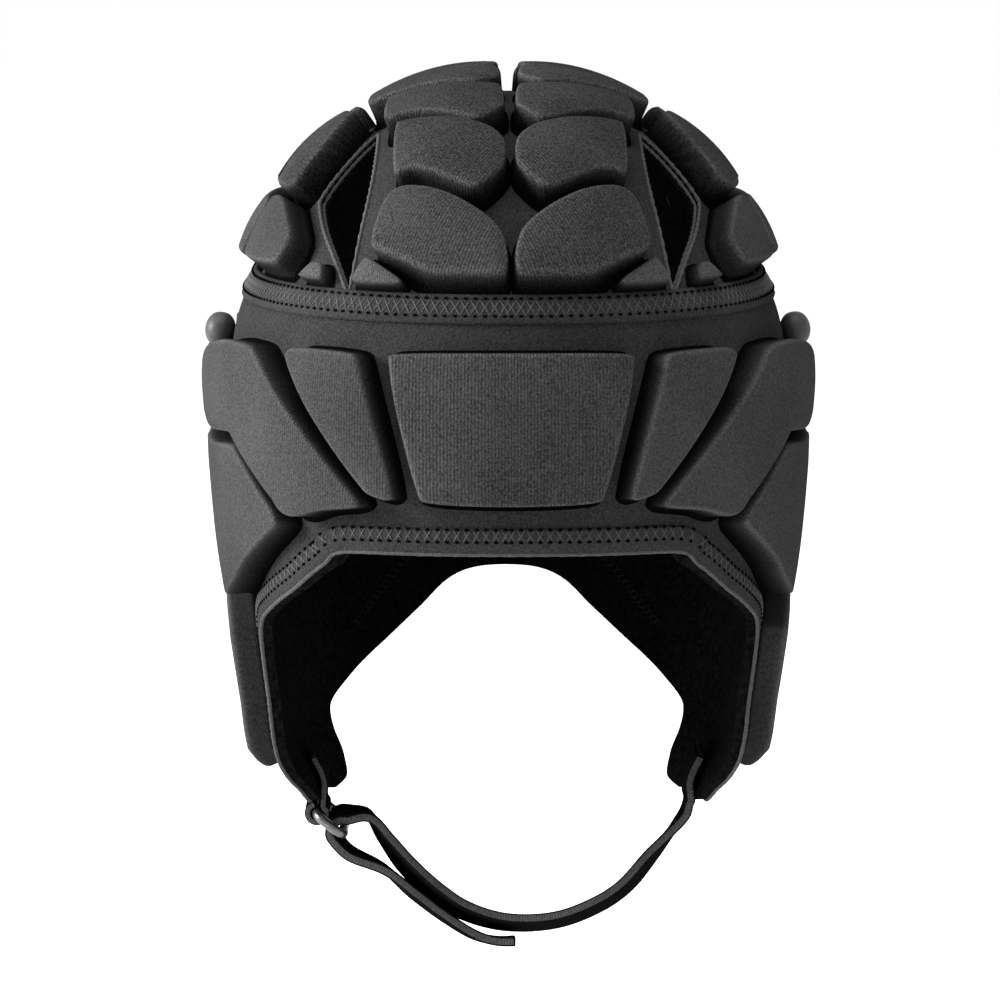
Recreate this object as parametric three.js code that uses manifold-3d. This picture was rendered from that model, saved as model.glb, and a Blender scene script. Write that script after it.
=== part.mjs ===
// A padded rugby scrum cap, held up as a head holds it.
// Millimetres, +Z up. The face looks along -Y, and the origin is the top of the head hollow.
import * as THREE from "three";
import { mergeVertices } from "three/addons/utils/BufferGeometryUtils.js";
import Module from "manifold-3d";

// The head hollow, measured on the inner face of the cloth.
const HEAD_BREADTH = 151;
const FRONT_REACH = 102;
const BACK_REACH = 95;
const CROWN_RISE = 76.5;
const FRONT_ROUND = 2.15;
const SIDE_ROUND = 1.98;

// How far below the top the seam, the forehead rim and the flaps' lowest points lie.
const SEAM_DROP = 51.5;
const RIM_DROP = 114.5;
const FLAP_DROP = 205;

// Cloth, foam and the clearance between pieces.
const WALL = 3;
const GAP = 0.4;
const SEAT = 0.65;
const PAD_HEIGHT = 8;
const PAD_CORNER = 5;
const PAD_LEAN = 0.3;
const PAD_EDGE = 1.6;
const PAD_SWELL = 0.6;
const TAPE_WIDTH = 6;
const TAPE_HEIGHT = 1.2;

// Round buttons on the band's sides, with their outline as shares of half the width and the height.
const BUTTON_WIDTH = 10;
const BUTTON_HEIGHT = 8.5;
const BUTTON_TURN = 90;
const BUTTON_SHARE = 1.235;
// radius share, height share
const BUTTON_OUTLINE = [
  [0, 0],
  [0.92, 0],
  [1, 0.4],
  [0.84, 0.8],
  [0.45, 0.97],
  [0, 1],
];

// Chin strap and its ring.
const STRAP_WIDTH = 18;
const STRAP_THICK = 2.8;
const STRAP_FOLD = 4;
const CHIN_DROP = 42;
const TAB_THICK = 1.8;
const RING_WIRE = 2.8;
const RING_LENGTH = 12.5;
const RING_SLOPE = 38;
const RING_CORNER = 3.5;
const RING_SPARE = 1.4;

// Where the strap bends round the ring's lower bar and the tab round its upper bar, in degrees.
const STRAP_BEND = [70, 110, 150, 190, 230];
const TAB_BEND = [45, 15, -15, -45, -75, -105, -135, -165, -195, -225, -255];

// How finely curved pieces are faceted.
const PAD_SPACING = 13;
const PAD_RINGS = 17;
const BUTTON_SIDES = 10;
const CORNER_STEPS = 3;
const TURN_STEPS = 40;
const CROWN_STEPS = 9;
const BAND_STEPS = 10;
const STRAP_STEPS = 46;
const WIRE_SIDES = 8;

// Sections of the hollow from the top down. The first column is a drop share, where 0 is the top,
// 1 the seam, 2 the forehead rim and 3 the flaps' lowest point. The next three are shares of the
// half breadth and of the front and back reach, and the last two say how square the plan is.
// at, breadth, front, back, front squareness, back squareness
const SECTIONS = [
  [0.0, 1.0, 1.0, 1.0, 2.45, 2.45],
  [0.4, 0.99, 1.0, 1.0, 2.45, 2.45],
  [0.8, 0.965, 1.0, 1.0, 2.45, 2.45],
  [1.1, 1.005, 1.0, 1.0, 2.45, 2.45],
  [1.4, 1.007, 1.0, 1.0, 2.45, 2.45],
  [1.7, 0.985, 1.0, 1.0, 2.5, 2.45],
  [2.05, 0.955, 1.0, 0.975, 2.7, 2.45],
  [2.3, 0.91, 0.99, 0.88, 3.2, 2.5],
  [2.55, 0.865, 0.985, 0.69, 3.8, 2.6],
  [2.75, 0.83, 0.98, 0.51, 4.2, 2.7],
  [2.87, 0.76, 0.97, 0.45, 4.2, 2.8],
  [3.0, 0.7, 0.96, 0.42, 4.2, 3.0],
];

// The lower edge seen from the side, from the forehead over an ear flap to the nape. The foot is
// where the strap leaves a flap.
// reach share, drop share
const FLAP_FOOT = 2.96;
const RIM = [
  [-1.3, 2.0],
  [-0.94, 2.01],
  [-0.88, 2.06],
  [-0.79, 2.15],
  [-0.66, 2.23],
  [-0.54, 2.29],
  [-0.46, 2.36],
  [-0.425, 2.47],
  [-0.41, 2.66],
  [-0.39, 2.77],
  [-0.34, 2.84],
  [-0.25, 2.89],
  [-0.11, FLAP_FOOT],
  [0.12, FLAP_FOOT],
  [0.2, 2.99],
  [0.28, 2.97],
  [0.3, 2.9],
  [0.315, 2.82],
  [0.36, 2.74],
  [0.46, 2.67],
  [0.61, 2.57],
  [0.73, 2.47],
  [0.85, 2.35],
  [0.94, 2.27],
  [1.3, 2.26],
];

// Crown pads in pairs beside the middle line, seen from above. The corners are shares of the half
// breadth and of the front reach, or of the back reach where they are positive.
const CROWN_PADS = {
  crown_pad_1: [[0.006, -0.94], [0.006, -0.885], [0.055, -0.85], [0.14, -0.81], [0.24, -0.765],
    [0.33, -0.735], [0.39, -0.732], [0.45, -0.828], [0.32, -0.893], [0.24, -0.925]],
  crown_pad_2: [[0.375, -0.488], [0.2, -0.533], [0.075, -0.585], [0.012, -0.64], [0.008, -0.73],
    [0.108, -0.797], [0.19, -0.768], [0.31, -0.7], [0.38, -0.71]],
  crown_pad_3: [[0.4, -0.27], [0.2, -0.31], [0.02, -0.35], [0.01, -0.5], [0.105, -0.575],
    [0.19, -0.53], [0.3, -0.468], [0.415, -0.455]],
  crown_pad_4: [[0.47, -0.04], [0.2, -0.07], [0.035, -0.1], [0.02, -0.26], [0.105, -0.325],
    [0.2, -0.285], [0.46, -0.22]],
  crown_pad_5: [[0.46, 0.2], [0.2, 0.24], [0.08, 0.25], [0.025, 0.18], [0.035, -0.045],
    [0.2, -0.045], [0.47, -0.01]],
  crown_pad_6: [[0.42, 0.44], [0.2, 0.5], [0.08, 0.51], [0.015, 0.44], [0.02, 0.24],
    [0.09, 0.28], [0.22, 0.265], [0.43, 0.225]],
  crown_pad_7: [[0.4, 0.67], [0.2, 0.74], [0.09, 0.76], [0.01, 0.68], [0.012, 0.5],
    [0.09, 0.54], [0.21, 0.53], [0.415, 0.47]],
  crown_pad_8: [[0.44, 0.81], [0.25, 0.91], [0.008, 0.935], [0.008, 0.73], [0.09, 0.78],
    [0.21, 0.77], [0.41, 0.7]],
  upper_side_pad_1: [[0.49, -0.21], [0.585, -0.375], [0.675, -0.45], [0.725, -0.37],
    [0.755, -0.2], [0.63, -0.06], [0.52, -0.09]],
  upper_side_pad_2: [[0.53, -0.04], [0.64, -0.01], [0.755, -0.13], [0.77, 0.1], [0.71, 0.26],
    [0.52, 0.2]],
  upper_side_pad_3: [[0.49, 0.25], [0.71, 0.32], [0.68, 0.46], [0.56, 0.66], [0.455, 0.6]],
};

// Pads on the crown's skirt and on the band. The corners are a turn in degrees from the forehead
// and a drop share.
const SIDE_PADS = {
  corner_pad_front: [[23, 0.78], [25, 0.9], [24, 0.925], [16.2, 0.92], [16.2, 0.885]],
  corner_pad_side: [[31, 0.835], [34, 0.83], [36.8, 0.92], [30, 0.925]],
  lower_side_pad_1: [[50.8, 0.575], [44.6, 0.635], [38.4, 0.74], [40.4, 0.91], [60, 0.91], [63, 0.72],
    [60, 0.57]],
  lower_side_pad_2: [[65, 0.6], [67, 0.74], [64, 0.91], [92, 0.91], [95, 0.74], [92, 0.6]],
  lower_side_pad_3: [[96, 0.61], [98.5, 0.75], [96, 0.91], [128, 0.91], [130, 0.61]],
  wedge_pad: [[20.6, 1.18], [32.6, 1.175], [33.4, 1.23], [20.4, 1.74], [18.4, 1.78],
    [15.2, 1.785]],
  diagonal_pad: [[41, 1.19], [52, 1.19], [68, 1.25], [79, 1.36], [79, 1.55], [64, 1.6],
    [47.5, 1.56], [37.6, 1.75], [34, 1.88], [30.6, 1.895], [26.5, 1.845], [19.6, 1.82],
    [21.6, 1.74], [30.2, 1.46], [37.4, 1.27]],
  temple_pad: [[47.6, 1.6], [64, 1.64], [78, 1.62], [78, 2.1], [62, 2.24], [49, 2.17], [43, 2.08],
    [33.4, 1.93], [36.4, 1.83]],
  cheek_pad: [[57, 2.32], [78, 2.2], [100, 2.2], [105, 2.4], [105, 2.76], [92, 2.84],
    [63, 2.74], [60, 2.5]],
  ear_pad: [[83, 1.38], [108, 1.25], [118, 1.3], [118, 1.6], [83, 1.58]],
  ear_back_pad: [[82, 1.63], [118, 1.65], [120, 2.0], [106, 2.14], [82, 2.13]],
  nape_side_pad: [[122, 1.22], [156, 1.2], [158, 2.04], [146, 2.14], [124, 2.08]],
};

// Pads that cross the middle line: one half of the outline, which is mirrored.
const MIDDLE_PADS = {
  forehead_pad: [[0, 1.17], [17.4, 1.175], [12.8, 1.79], [0, 1.8]],
  nape_pad: [[180, 1.2], [161, 1.2], [163, 2.06], [180, 2.08]],
};

// The vent cut in each side of the crown, seen from above as the crown pads are.
const VENT = [[0.462, -0.28], [0.573, -0.397], [0.667, -0.47], [0.646, -0.61], [0.6, -0.73],
  [0.552, -0.835], [0.515, -0.745], [0.478, -0.62], [0.463, -0.45]];

// The chin strap from under the right flap past the chin to the ring, then folded back to its free
// end. across is a share of the half breadth, drop a share of CHIN_DROP below the flaps, and tilt
// the degrees by which the front edge stands higher.
// across, drop, tilt
const STRAP_MAIN = [
  [0.695, 0.03, 3],
  [0.64, 0.18, 9],
  [0.56, 0.36, 16],
  [0.46, 0.58, 19],
  [0.36, 0.71, 21],
  [0.19, 0.83, 22],
  [-0.01, 0.845, 23],
  [-0.17, 0.76, 24],
  [-0.28, 0.63, 24],
  [-0.39, 0.44, 22],
  [-0.47, 0.25, 16],
  [-0.54, 0.08, 8],
];
const STRAP_BACK = [
  [-0.62, 0.34, 4],
  [-0.48, 0.465, 10],
  [-0.36, 0.65, 14],
  [-0.24, 0.815, 14],
  [-0.12, 0.945, 14],
  [-0.04, 0.98, 13],
  [0.03, 0.98, 12],
];

// Where the strap and the ring's tab are sewn inside the flaps, as a turn and drop shares.
const SEWN_TURN = 90;
const SEWN_CLEAR = 1.6;
const SEWN_SHARES = [2.84, 2.91];

const HALF_BREADTH = HEAD_BREADTH / 2;
const SHELL = WALL + SEAT;
const PROBE = 0.02;

// Limits of the outline tools: a bend too slight to cut, the longest cut as a share of an edge and
// the sharpest mitre.
const SLIGHT_BEND = 0.93;
const LONGEST_CUT = 0.42;
const SHARPEST_MITRE = 0.5;

function mix(a, b, share) {
  return a + (b - a) * share;
}

// Height of a drop share, and the share of a height.
const DROPS = [0, SEAM_DROP, RIM_DROP, FLAP_DROP];
function heightAt(share) {
  const step = Math.min(Math.max(Math.floor(share), 0), DROPS.length - 2);
  return -mix(DROPS[step], DROPS[step + 1], share - step);
}
function shareAt(z) {
  let step = 0;
  while (step < DROPS.length - 2 && -z > DROPS[step + 1]) step += 1;
  return step + (-z - DROPS[step]) / (DROPS[step + 1] - DROPS[step]);
}

// A row of a table at a value of its first column, on smooth curves through the rows.
function slopeAt(table, row, column) {
  const before = table[Math.max(row - 1, 0)];
  const after = table[Math.min(row + 1, table.length - 1)];
  return (after[column] - before[column]) / (after[0] - before[0]);
}
function rowAt(table, value) {
  const held = Math.min(Math.max(value, table[0][0]), table[table.length - 1][0]);
  let row = 0;
  while (row < table.length - 2 && held > table[row + 1][0]) row += 1;
  const span = table[row + 1][0] - table[row][0];
  const s = (held - table[row][0]) / span;
  const far = s * s * (3 - 2 * s);
  return table[row].map((start, column) => {
    const lean = s * (1 - s) * (1 - s) * slopeAt(table, row, column);
    const leanFar = s * s * (s - 1) * slopeAt(table, row + 1, column);
    return mix(start, table[row + 1][column], far) + (lean + leanFar) * span;
  });
}

// How far a point is outside the hollow: negative inside, nought on its face.
function outside(x, y, z) {
  const [, breadth, front, back, frontSquare, backSquare] = rowAt(SECTIONS, shareAt(z));
  const reach = y < 0 ? front * FRONT_REACH : back * BACK_REACH;
  const square = y < 0 ? frontSquare : backSquare;
  const across = Math.abs(x) / (breadth * HALF_BREADTH);
  const plan = (across ** square + (Math.abs(y) / reach) ** square) ** (1 / square);
  const rise = Math.max(z + CROWN_RISE, 0) / CROWN_RISE;
  const facing = (y * y) / (x * x + y * y + PROBE);
  const round = mix(SIDE_ROUND, FRONT_ROUND, facing);
  return (plan ** round + rise ** round) ** (1 / round) - 1;
}

function solve(low, high, test) {
  for (let i = 0; i < 40; i += 1) {
    const middle = (low + high) / 2;
    if (test(middle) > 0) high = middle;
    else low = middle;
  }
  return (low + high) / 2;
}

// The hollow's face at a turn and a height, and under a point seen from above.
function around(turn, z) {
  const angle = THREE.MathUtils.degToRad(turn);
  const [x, y] = [Math.sin(angle), -Math.cos(angle)];
  const radius = solve(0, 2 * HEAD_BREADTH, (r) => outside(x * r, y * r, z));
  return new THREE.Vector3(x * radius, y * radius, z);
}
function below(x, y) {
  return new THREE.Vector3(x, y, solve(-CROWN_RISE, 0, (z) => outside(x, y, z)));
}

function lifted(point, height) {
  const { x, y, z } = point;
  const normal = new THREE.Vector3(
    outside(x + PROBE, y, z) - outside(x - PROBE, y, z),
    outside(x, y + PROBE, z) - outside(x, y - PROBE, z),
    outside(x, y, z + PROBE) - outside(x, y, z - PROBE),
  );
  return normal.normalize().multiplyScalar(height).add(point);
}

// Charts: the plan of the crown and the unrolled band, both in millimetres near enough.
const ARC = (Math.PI / 180) * ((HALF_BREADTH + FRONT_REACH) / 2);
const CHARTS = {
  plan: {
    flat: ([x, y]) => [x * HALF_BREADTH, y * (y < 0 ? FRONT_REACH : BACK_REACH)],
    point: ([x, y]) => below(x, y),
  },
  band: {
    flat: ([turn, share]) => [turn * ARC, -heightAt(share)],
    point: ([along, drop]) => around(along / ARC, -drop),
  },
};

function distance(one, two) {
  return Math.hypot(two[0] - one[0], two[1] - one[1]);
}
function onLine(one, two, share) {
  return [mix(one[0], two[0], share), mix(one[1], two[1], share)];
}

// Sharp corners are cut back and slight bends stay one point.
function rounded(corners, radius) {
  return corners.flatMap((corner, i) => {
    const [before, after] = [corners.at(i - 1), corners[(i + 1) % corners.length]];
    const turned = distance(before, after) / (distance(before, corner) + distance(corner, after));
    if (turned > SLIGHT_BEND) return [corner];
    return [before, after].map((next) => {
      return onLine(corner, next, Math.min(radius / distance(corner, next), LONGEST_CUT));
    });
  });
}

// Long edges get points of their own, and points that all but meet become one.
function spaced(points, longest, shortest) {
  return points.flatMap((point, i) => {
    const next = points[(i + 1) % points.length];
    const length = distance(point, next);
    if (length < shortest) return [];
    const pieces = Math.max(Math.round(length / longest), 1);
    return Array.from({ length: pieces }, (_, k) => onLine(point, next, k / pieces));
  });
}

function areaOf(points) {
  return points.reduce((sum, [x, y], i) => {
    const [nextX, nextY] = points[(i + 1) % points.length];
    return sum + (x * nextY - nextX * y) / 2;
  }, 0);
}

function inset(points, cut) {
  const sign = Math.sign(areaOf(points));
  return points.map(([x, y], i) => {
    const [beforeX, beforeY] = points.at(i - 1);
    const [afterX, afterY] = points[(i + 1) % points.length];
    const one = new THREE.Vector2(x - beforeX, y - beforeY).normalize();
    const two = new THREE.Vector2(afterX - x, afterY - y).normalize();
    const along = one.clone().add(two).normalize();
    const reach = cut / Math.max(along.dot(two), SHARPEST_MITRE);
    return [x - along.y * reach * sign, y + along.x * reach * sign];
  });
}

function centreOf(points) {
  return [0, 1].map((k) => points.reduce((sum, p) => sum + p[k], 0) / points.length);
}
function shrunk(points, share) {
  const heart = centreOf(points);
  return points.map((p) => onLine(heart, p, share));
}

// The quads between one ring of points and the next, as triangles
function between(ring, nextRing, count) {
  const triangles = [];
  for (let i = 0; i < count; i += 1) {
    const next = (i + 1) % count;
    const [a, b] = [ring * count + i, ring * count + next];
    const [c, d] = [nextRing * count + next, nextRing * count + i];
    triangles.push(a, b, c, a, c, d);
  }
  return triangles;
}

// A closed body from rings of points, from the middle of its under side to the middle of its top.
function ringBody(rings) {
  const count = rings[0].length;
  const last = rings.length - 1;
  const vertices = rings.flat();
  const triangles = rings.slice(1).flatMap((_, ring) => between(ring, ring + 1, count));
  const under = vertices.length;
  vertices.push(middleOf(rings[0]), middleOf(rings[last]));
  for (let i = 0; i < count; i += 1) {
    const next = (i + 1) % count;
    triangles.push(under, next, i, under + 1, last * count + i, last * count + next);
  }
  return bodyOf(vertices, triangles);
}

// A closed body from rings of points whose last ring meets the first.
function loopBody(rings) {
  const count = rings[0].length;
  return bodyOf(
    rings.flat(),
    rings.flatMap((_, ring) => between(ring, (ring + 1) % rings.length, count)),
  );
}

function middleOf(points) {
  const sum = points.reduce((total, point) => total.add(point), new THREE.Vector3());
  return sum.divideScalar(points.length);
}

function bodyOf(vertices, triangles) {
  const geometry = new THREE.BufferGeometry();
  geometry.setAttribute(
    "position",
    new THREE.Float32BufferAttribute(vertices.flatMap((v) => [v.x, v.y, v.z]), 3),
  );
  geometry.setIndex(triangles);
  return geometry;
}

// A slab on the shell: its outline is drawn in a chart and its rings are lifted off the hollow.
function slab(corners, chart, profile, side) {
  const { flat, point } = CHARTS[chart];
  let outline = spaced(rounded(corners.map(flat), PAD_CORNER), PAD_SPACING, PAD_CORNER / 2);
  if (areaOf(outline) * (chart === "band" ? -1 : 1) < 0) outline = outline.reverse();
  const heart = centreOf(outline);
  const reach = Math.max(...outline.map((corner) => distance(corner, heart)));
  const count = Math.max(Math.round(reach / PAD_RINGS), 1);
  const inner = Array.from({ length: count }, (_, k) => (count - k) / (count + 1));
  const place = (points, lift) => points.map((p) => lifted(point(p), lift));
  const rings = [];
  for (const share of [...inner].reverse()) rings.push(place(shrunk(outline, share), profile[0][1]));
  for (const [cut, lift] of profile) rings.push(place(inset(outline, cut), lift));
  const top = inset(outline, profile.at(-1)[0]);
  inner.forEach((share) => {
    rings.push(place(shrunk(top, share), profile.at(-1)[1] + PAD_SWELL * (1 - share)));
  });
  const body = ringBody(rings);
  return side < 0 ? mirrored(body) : body;
}

function mirrored(geometry) {
  const flipped = geometry.clone().scale(-1, 1, 1);
  const index = [...flipped.getIndex().array];
  for (let i = 0; i < index.length; i += 3) {
    [index[i + 1], index[i + 2]] = [index[i + 2], index[i + 1]];
  }
  flipped.setIndex(index);
  return flipped;
}

// A wall round the head from one height to another, open below, closed at the top if it has a pole.
function wall(heights, pole) {
  const inner = [];
  const outer = [];
  for (const z of heights) {
    const ring = [];
    for (let i = 0; i < TURN_STEPS; i += 1) ring.push(around((360 * i) / TURN_STEPS, z));
    inner.push(ring);
    outer.push(ring.map((point) => lifted(point, WALL)));
  }
  if (pole) {
    return ringBody([...inner, ...outer.reverse()]);
  }
  return loopBody([...inner, ...outer.reverse()]);
}

const wasm = await Module();
wasm.setup();

function solidOf(geometry) {
  const bare = geometry.clone();
  bare.deleteAttribute("normal");
  bare.deleteAttribute("uv");
  const merged = mergeVertices(bare, 1e-4);
  const mesh = new wasm.Mesh({
    numProp: 3,
    vertProperties: merged.getAttribute("position").array,
    triVerts: new Uint32Array(merged.getIndex().array),
  });
  return new wasm.Manifold(mesh);
}

function geometryOf(solid) {
  const mesh = solid.getMesh();
  const geometry = new THREE.BufferGeometry();
  geometry.setAttribute("position", new THREE.Float32BufferAttribute(mesh.vertProperties, 3));
  geometry.setIndex([...mesh.triVerts]);
  return geometry;
}

// Materials
function cloth(color, roughness) {
  return new THREE.MeshStandardMaterial({ color, roughness, metalness: 0 });
}
const SHELL_CLOTH = cloth(0x1d1d1e, 0.95);
const PAD_CLOTH = cloth(0x434345, 0.9);
const SIDE_CLOTH = cloth(0x4d4d50, 0.9);
const TAPE_CLOTH = cloth(0x363638, 0.8);
const WEBBING = cloth(0x19191a, 0.85);
const BUTTON_FOAM = cloth(0x2a2a2c, 0.7);
const RING_METAL = new THREE.MeshStandardMaterial({ color: 0x55565a, roughness: 0.35, metalness: 0.8 });

const cap = new THREE.Group();
function add(name, geometry, material) {
  const mesh = new THREE.Mesh(geometry, material);
  mesh.name = name;
  cap.add(mesh);
  return mesh;
}
const SIDES = { right: 1, left: -1 };

// Crown: a dome from the top to the seam, with a vent cut in each side
function makeCrown() {
  const heights = [];
  const end = SEAM_DROP - GAP / 2;
  const last = Math.acos(1 - end / CROWN_RISE);
  for (let i = 1; i <= CROWN_STEPS; i += 1) {
    heights.push(-CROWN_RISE * (1 - Math.cos((last * i) / CROWN_STEPS)));
  }
  const dome = wall(heights, true);
  const depth = [[0, -WALL], [0, 2 * WALL]];
  let solid = solidOf(dome);
  for (const side of Object.values(SIDES)) {
    solid = solid.subtract(solidOf(slab(VENT, "plan", depth, side)));
  }
  return geometryOf(solid);
}
add("crown_shell", makeCrown(), SHELL_CLOTH);

// Band: the head band with both ear flaps, cut to the rim's outline
function makeBand() {
  const heights = [];
  const start = SEAM_DROP + GAP / 2;
  const end = FLAP_DROP + WALL;
  for (let i = 0; i <= BAND_STEPS; i += 1) heights.push(-mix(start, end, i / BAND_STEPS));
  const corners = RIM.map(([reach, share]) => {
    return new THREE.Vector2(reach * (reach < 0 ? FRONT_REACH : BACK_REACH), heightAt(share));
  });
  const shape = new THREE.Shape([
    new THREE.Vector2(corners[0].x, 0),
    new THREE.Vector2(corners[0].x, corners[0].y),
    ...corners.slice(1),
    new THREE.Vector2(corners.at(-1).x, 0),
  ]);
  const kept = new THREE.ExtrudeGeometry(shape, { depth: 2 * HEAD_BREADTH, bevelEnabled: false });
  kept.translate(0, 0, -HEAD_BREADTH);
  const sideways = new THREE.Matrix4().makeBasis(
    new THREE.Vector3(0, 1, 0),
    new THREE.Vector3(0, 0, 1),
    new THREE.Vector3(1, 0, 0),
  );
  kept.applyMatrix4(sideways);
  return geometryOf(solidOf(wall(heights, false)).intersect(solidOf(kept)));
}
add("band_shell", makeBand(), SHELL_CLOTH);

// Tape over the seam
function makeTape() {
  const edges = [
    [1, SHELL],
    [-1, SHELL],
    [-1, SHELL + TAPE_HEIGHT],
    [1, SHELL + TAPE_HEIGHT],
  ];
  const rings = edges.map(([end, lift]) => {
    const ring = [];
    for (let i = 0; i < TURN_STEPS; i += 1) {
      const z = -SEAM_DROP + (end * TAPE_WIDTH) / 2;
      ring.push(lifted(around((360 * i) / TURN_STEPS, z), lift));
    }
    return ring;
  });
  return loopBody(rings);
}
add("seam_tape", makeTape(), TAPE_CLOTH);

// Foam pads under the cloth, each a slab with rounded corners and edges
const PAD_PROFILE = [
  [0, SHELL],
  [PAD_LEAN, SHELL + PAD_HEIGHT - PAD_EDGE],
  [PAD_EDGE, SHELL + PAD_HEIGHT],
];
for (const [side, sign] of Object.entries(SIDES)) {
  for (const [name, corners] of Object.entries(CROWN_PADS)) {
    add(`${name}_${side}`, slab(corners, "plan", PAD_PROFILE, sign), PAD_CLOTH);
  }
  for (const [name, corners] of Object.entries(SIDE_PADS)) {
    add(`${name}_${side}`, slab(corners, "band", PAD_PROFILE, sign), SIDE_CLOTH);
  }
}
for (const [name, half] of Object.entries(MIDDLE_PADS)) {
  const middle = half[0][0];
  const others = half.filter(([turn]) => turn !== middle).reverse();
  const whole = [...half, ...others.map(([turn, share]) => [2 * middle - turn, share])];
  add(name, slab(whole, "band", PAD_PROFILE, 1), PAD_CLOTH);
}

// Round buttons
function makeButton() {
  const profile = BUTTON_OUTLINE.map(([radius, height]) => {
    return new THREE.Vector2((radius * BUTTON_WIDTH) / 2, height * BUTTON_HEIGHT);
  });
  return new THREE.LatheGeometry(profile, BUTTON_SIDES);
}
for (const [side, sign] of Object.entries(SIDES)) {
  const foot = around(sign * BUTTON_TURN, heightAt(BUTTON_SHARE));
  const base = lifted(foot, SHELL);
  const button = add(`side_button_${side}`, makeButton(), BUTTON_FOAM);
  button.position.copy(base);
  button.quaternion.setFromUnitVectors(
    new THREE.Vector3(0, 1, 0),
    base.clone().sub(foot).normalize(),
  );
}

// A bar of one section swept through frames, each with a place and two directions
function swept(frames, section, closed) {
  const rings = frames.map(({ at, u, v }) => {
    return section.map(([a, b]) => at.clone().addScaledVector(u, a).addScaledVector(v, b));
  });
  return closed ? loopBody(rings) : ringBody(rings);
}

// Ring of bent wire, hung from a tab under the left flap
const tabRadius = RING_WIRE / 2 + GAP + TAB_THICK / 2;
const ringTop = lifted(around(-SEWN_TURN, heightAt(FLAP_FOOT)), WALL / 2);
ringTop.z = heightAt(FLAP_FOOT) - GAP - tabRadius - TAB_THICK / 2;
const slope = THREE.MathUtils.degToRad(RING_SLOPE);
const ringDown = new THREE.Vector3(Math.cos(slope), 0, -Math.sin(slope));
const ringFoot = ringTop.clone().addScaledVector(ringDown, RING_LENGTH - RING_WIRE);
function makeRing() {
  const half = STRAP_WIDTH / 2 + RING_WIRE / 2 + RING_SPARE;
  const middle = ringTop.clone().lerp(ringFoot, 0.5);
  const reach = (RING_LENGTH - RING_WIRE) / 2;
  const across = new THREE.Vector3(0, 1, 0);
  const face = new THREE.Vector3().crossVectors(ringDown, across);
  const frames = [];
  for (const [a, b, start] of [[1, 1, 0], [-1, 1, 90], [-1, -1, 180], [1, -1, 270]]) {
    for (let step = 0; step <= CORNER_STEPS; step += 1) {
      const angle = THREE.MathUtils.degToRad(start + (90 * step) / CORNER_STEPS);
      const out = across.clone().multiplyScalar(Math.cos(angle));
      out.addScaledVector(ringDown, Math.sin(angle));
      const at = middle.clone().addScaledVector(across, a * (half - RING_CORNER));
      at.addScaledVector(ringDown, b * (reach - RING_CORNER)).addScaledVector(out, RING_CORNER);
      frames.push({ at, u: out, v: face });
    }
  }
  const section = [];
  for (let i = 0; i < WIRE_SIDES; i += 1) {
    const angle = (2 * Math.PI * i) / WIRE_SIDES;
    section.push([(Math.cos(angle) * RING_WIRE) / 2, (Math.sin(angle) * RING_WIRE) / 2]);
  }
  return swept(frames, section, true);
}
add("strap_ring", makeRing(), RING_METAL);

// A flat strip through stations of place and tilt
function strip(stations, thick) {
  const frames = stations.map(({ at, tilt }, i) => {
    const ahead = stations[Math.min(i + 1, stations.length - 1)].at;
    const along = ahead.clone().sub(stations[Math.max(i - 1, 0)].at).normalize();
    const level = new THREE.Vector3(0, -1, 0);
    const face = new THREE.Vector3().crossVectors(along, level).normalize();
    const lean = THREE.MathUtils.degToRad(tilt) * Math.sign(along.x || 1);
    const u = level.clone().multiplyScalar(Math.cos(lean)).addScaledVector(face, -Math.sin(lean));
    const v = new THREE.Vector3().crossVectors(along, u).normalize();
    return { at, u, v };
  });
  const [w, t] = [STRAP_WIDTH / 2, thick / 2];
  return swept(frames, [[-w, -t], [w, -t], [w, t], [-w, t]], false);
}

// Stations inside a flap, clear of its face, and stations round a bar of the ring
function sewnUp(turn, thick) {
  return SEWN_SHARES.map((share) => {
    return { at: lifted(around(turn, heightAt(share)), -SEWN_CLEAR - thick / 2), tilt: 0 };
  });
}
function wrapped(bar, radius, turns) {
  return turns.map((turn) => {
    const angle = THREE.MathUtils.degToRad(turn);
    const offset = new THREE.Vector3(Math.cos(angle), 0, Math.sin(angle));
    return { at: offset.multiplyScalar(radius).add(bar), tilt: 0 };
  });
}

// Chin strap: one strip from the right flap, through the ring and back
function makeStrap() {
  const place = ([across, drop, tilt]) => ({
    at: new THREE.Vector3(across * HALF_BREADTH, 0, -FLAP_DROP - drop * CHIN_DROP),
    tilt,
  });
  const fold = wrapped(ringFoot, STRAP_FOLD, STRAP_BEND);
  const sewn = sewnUp(SEWN_TURN, STRAP_THICK);
  const route = [...sewn, ...STRAP_MAIN.map(place), ...fold, ...STRAP_BACK.map(place)];
  const path = new THREE.CatmullRomCurve3(route.map(({ at }) => at), false, "centripetal");
  const stations = [];
  for (let i = 0; i < route.length - 1; i += 1) {
    const tight = i >= STRAP_MAIN.length && i < STRAP_MAIN.length + fold.length + 1;
    const steps = tight ? 2 : Math.ceil(STRAP_STEPS / route.length);
    for (let k = 0; k < steps; k += 1) {
      const share = k / steps;
      stations.push({
        at: path.getPoint((i + share) / (route.length - 1)),
        tilt: mix(route[i].tilt, route[i + 1].tilt, share),
      });
    }
  }
  stations.push(route.at(-1));
  return strip(stations, STRAP_THICK);
}
add("chin_strap", makeStrap(), WEBBING);

// Tab: a short strip sewn inside the left flap, folded round the ring's upper bar
function makeTab() {
  const sewn = sewnUp(-SEWN_TURN, TAB_THICK);
  return strip([...sewn, ...wrapped(ringTop, tabRadius, TAB_BEND)], TAB_THICK);
}
add("ring_tab", makeTab(), WEBBING);

export default cap;
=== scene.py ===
"""A black padded rugby scrum cap, as a head holds it. Metres, +Z up, the face looks along -Y."""
import math

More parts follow.
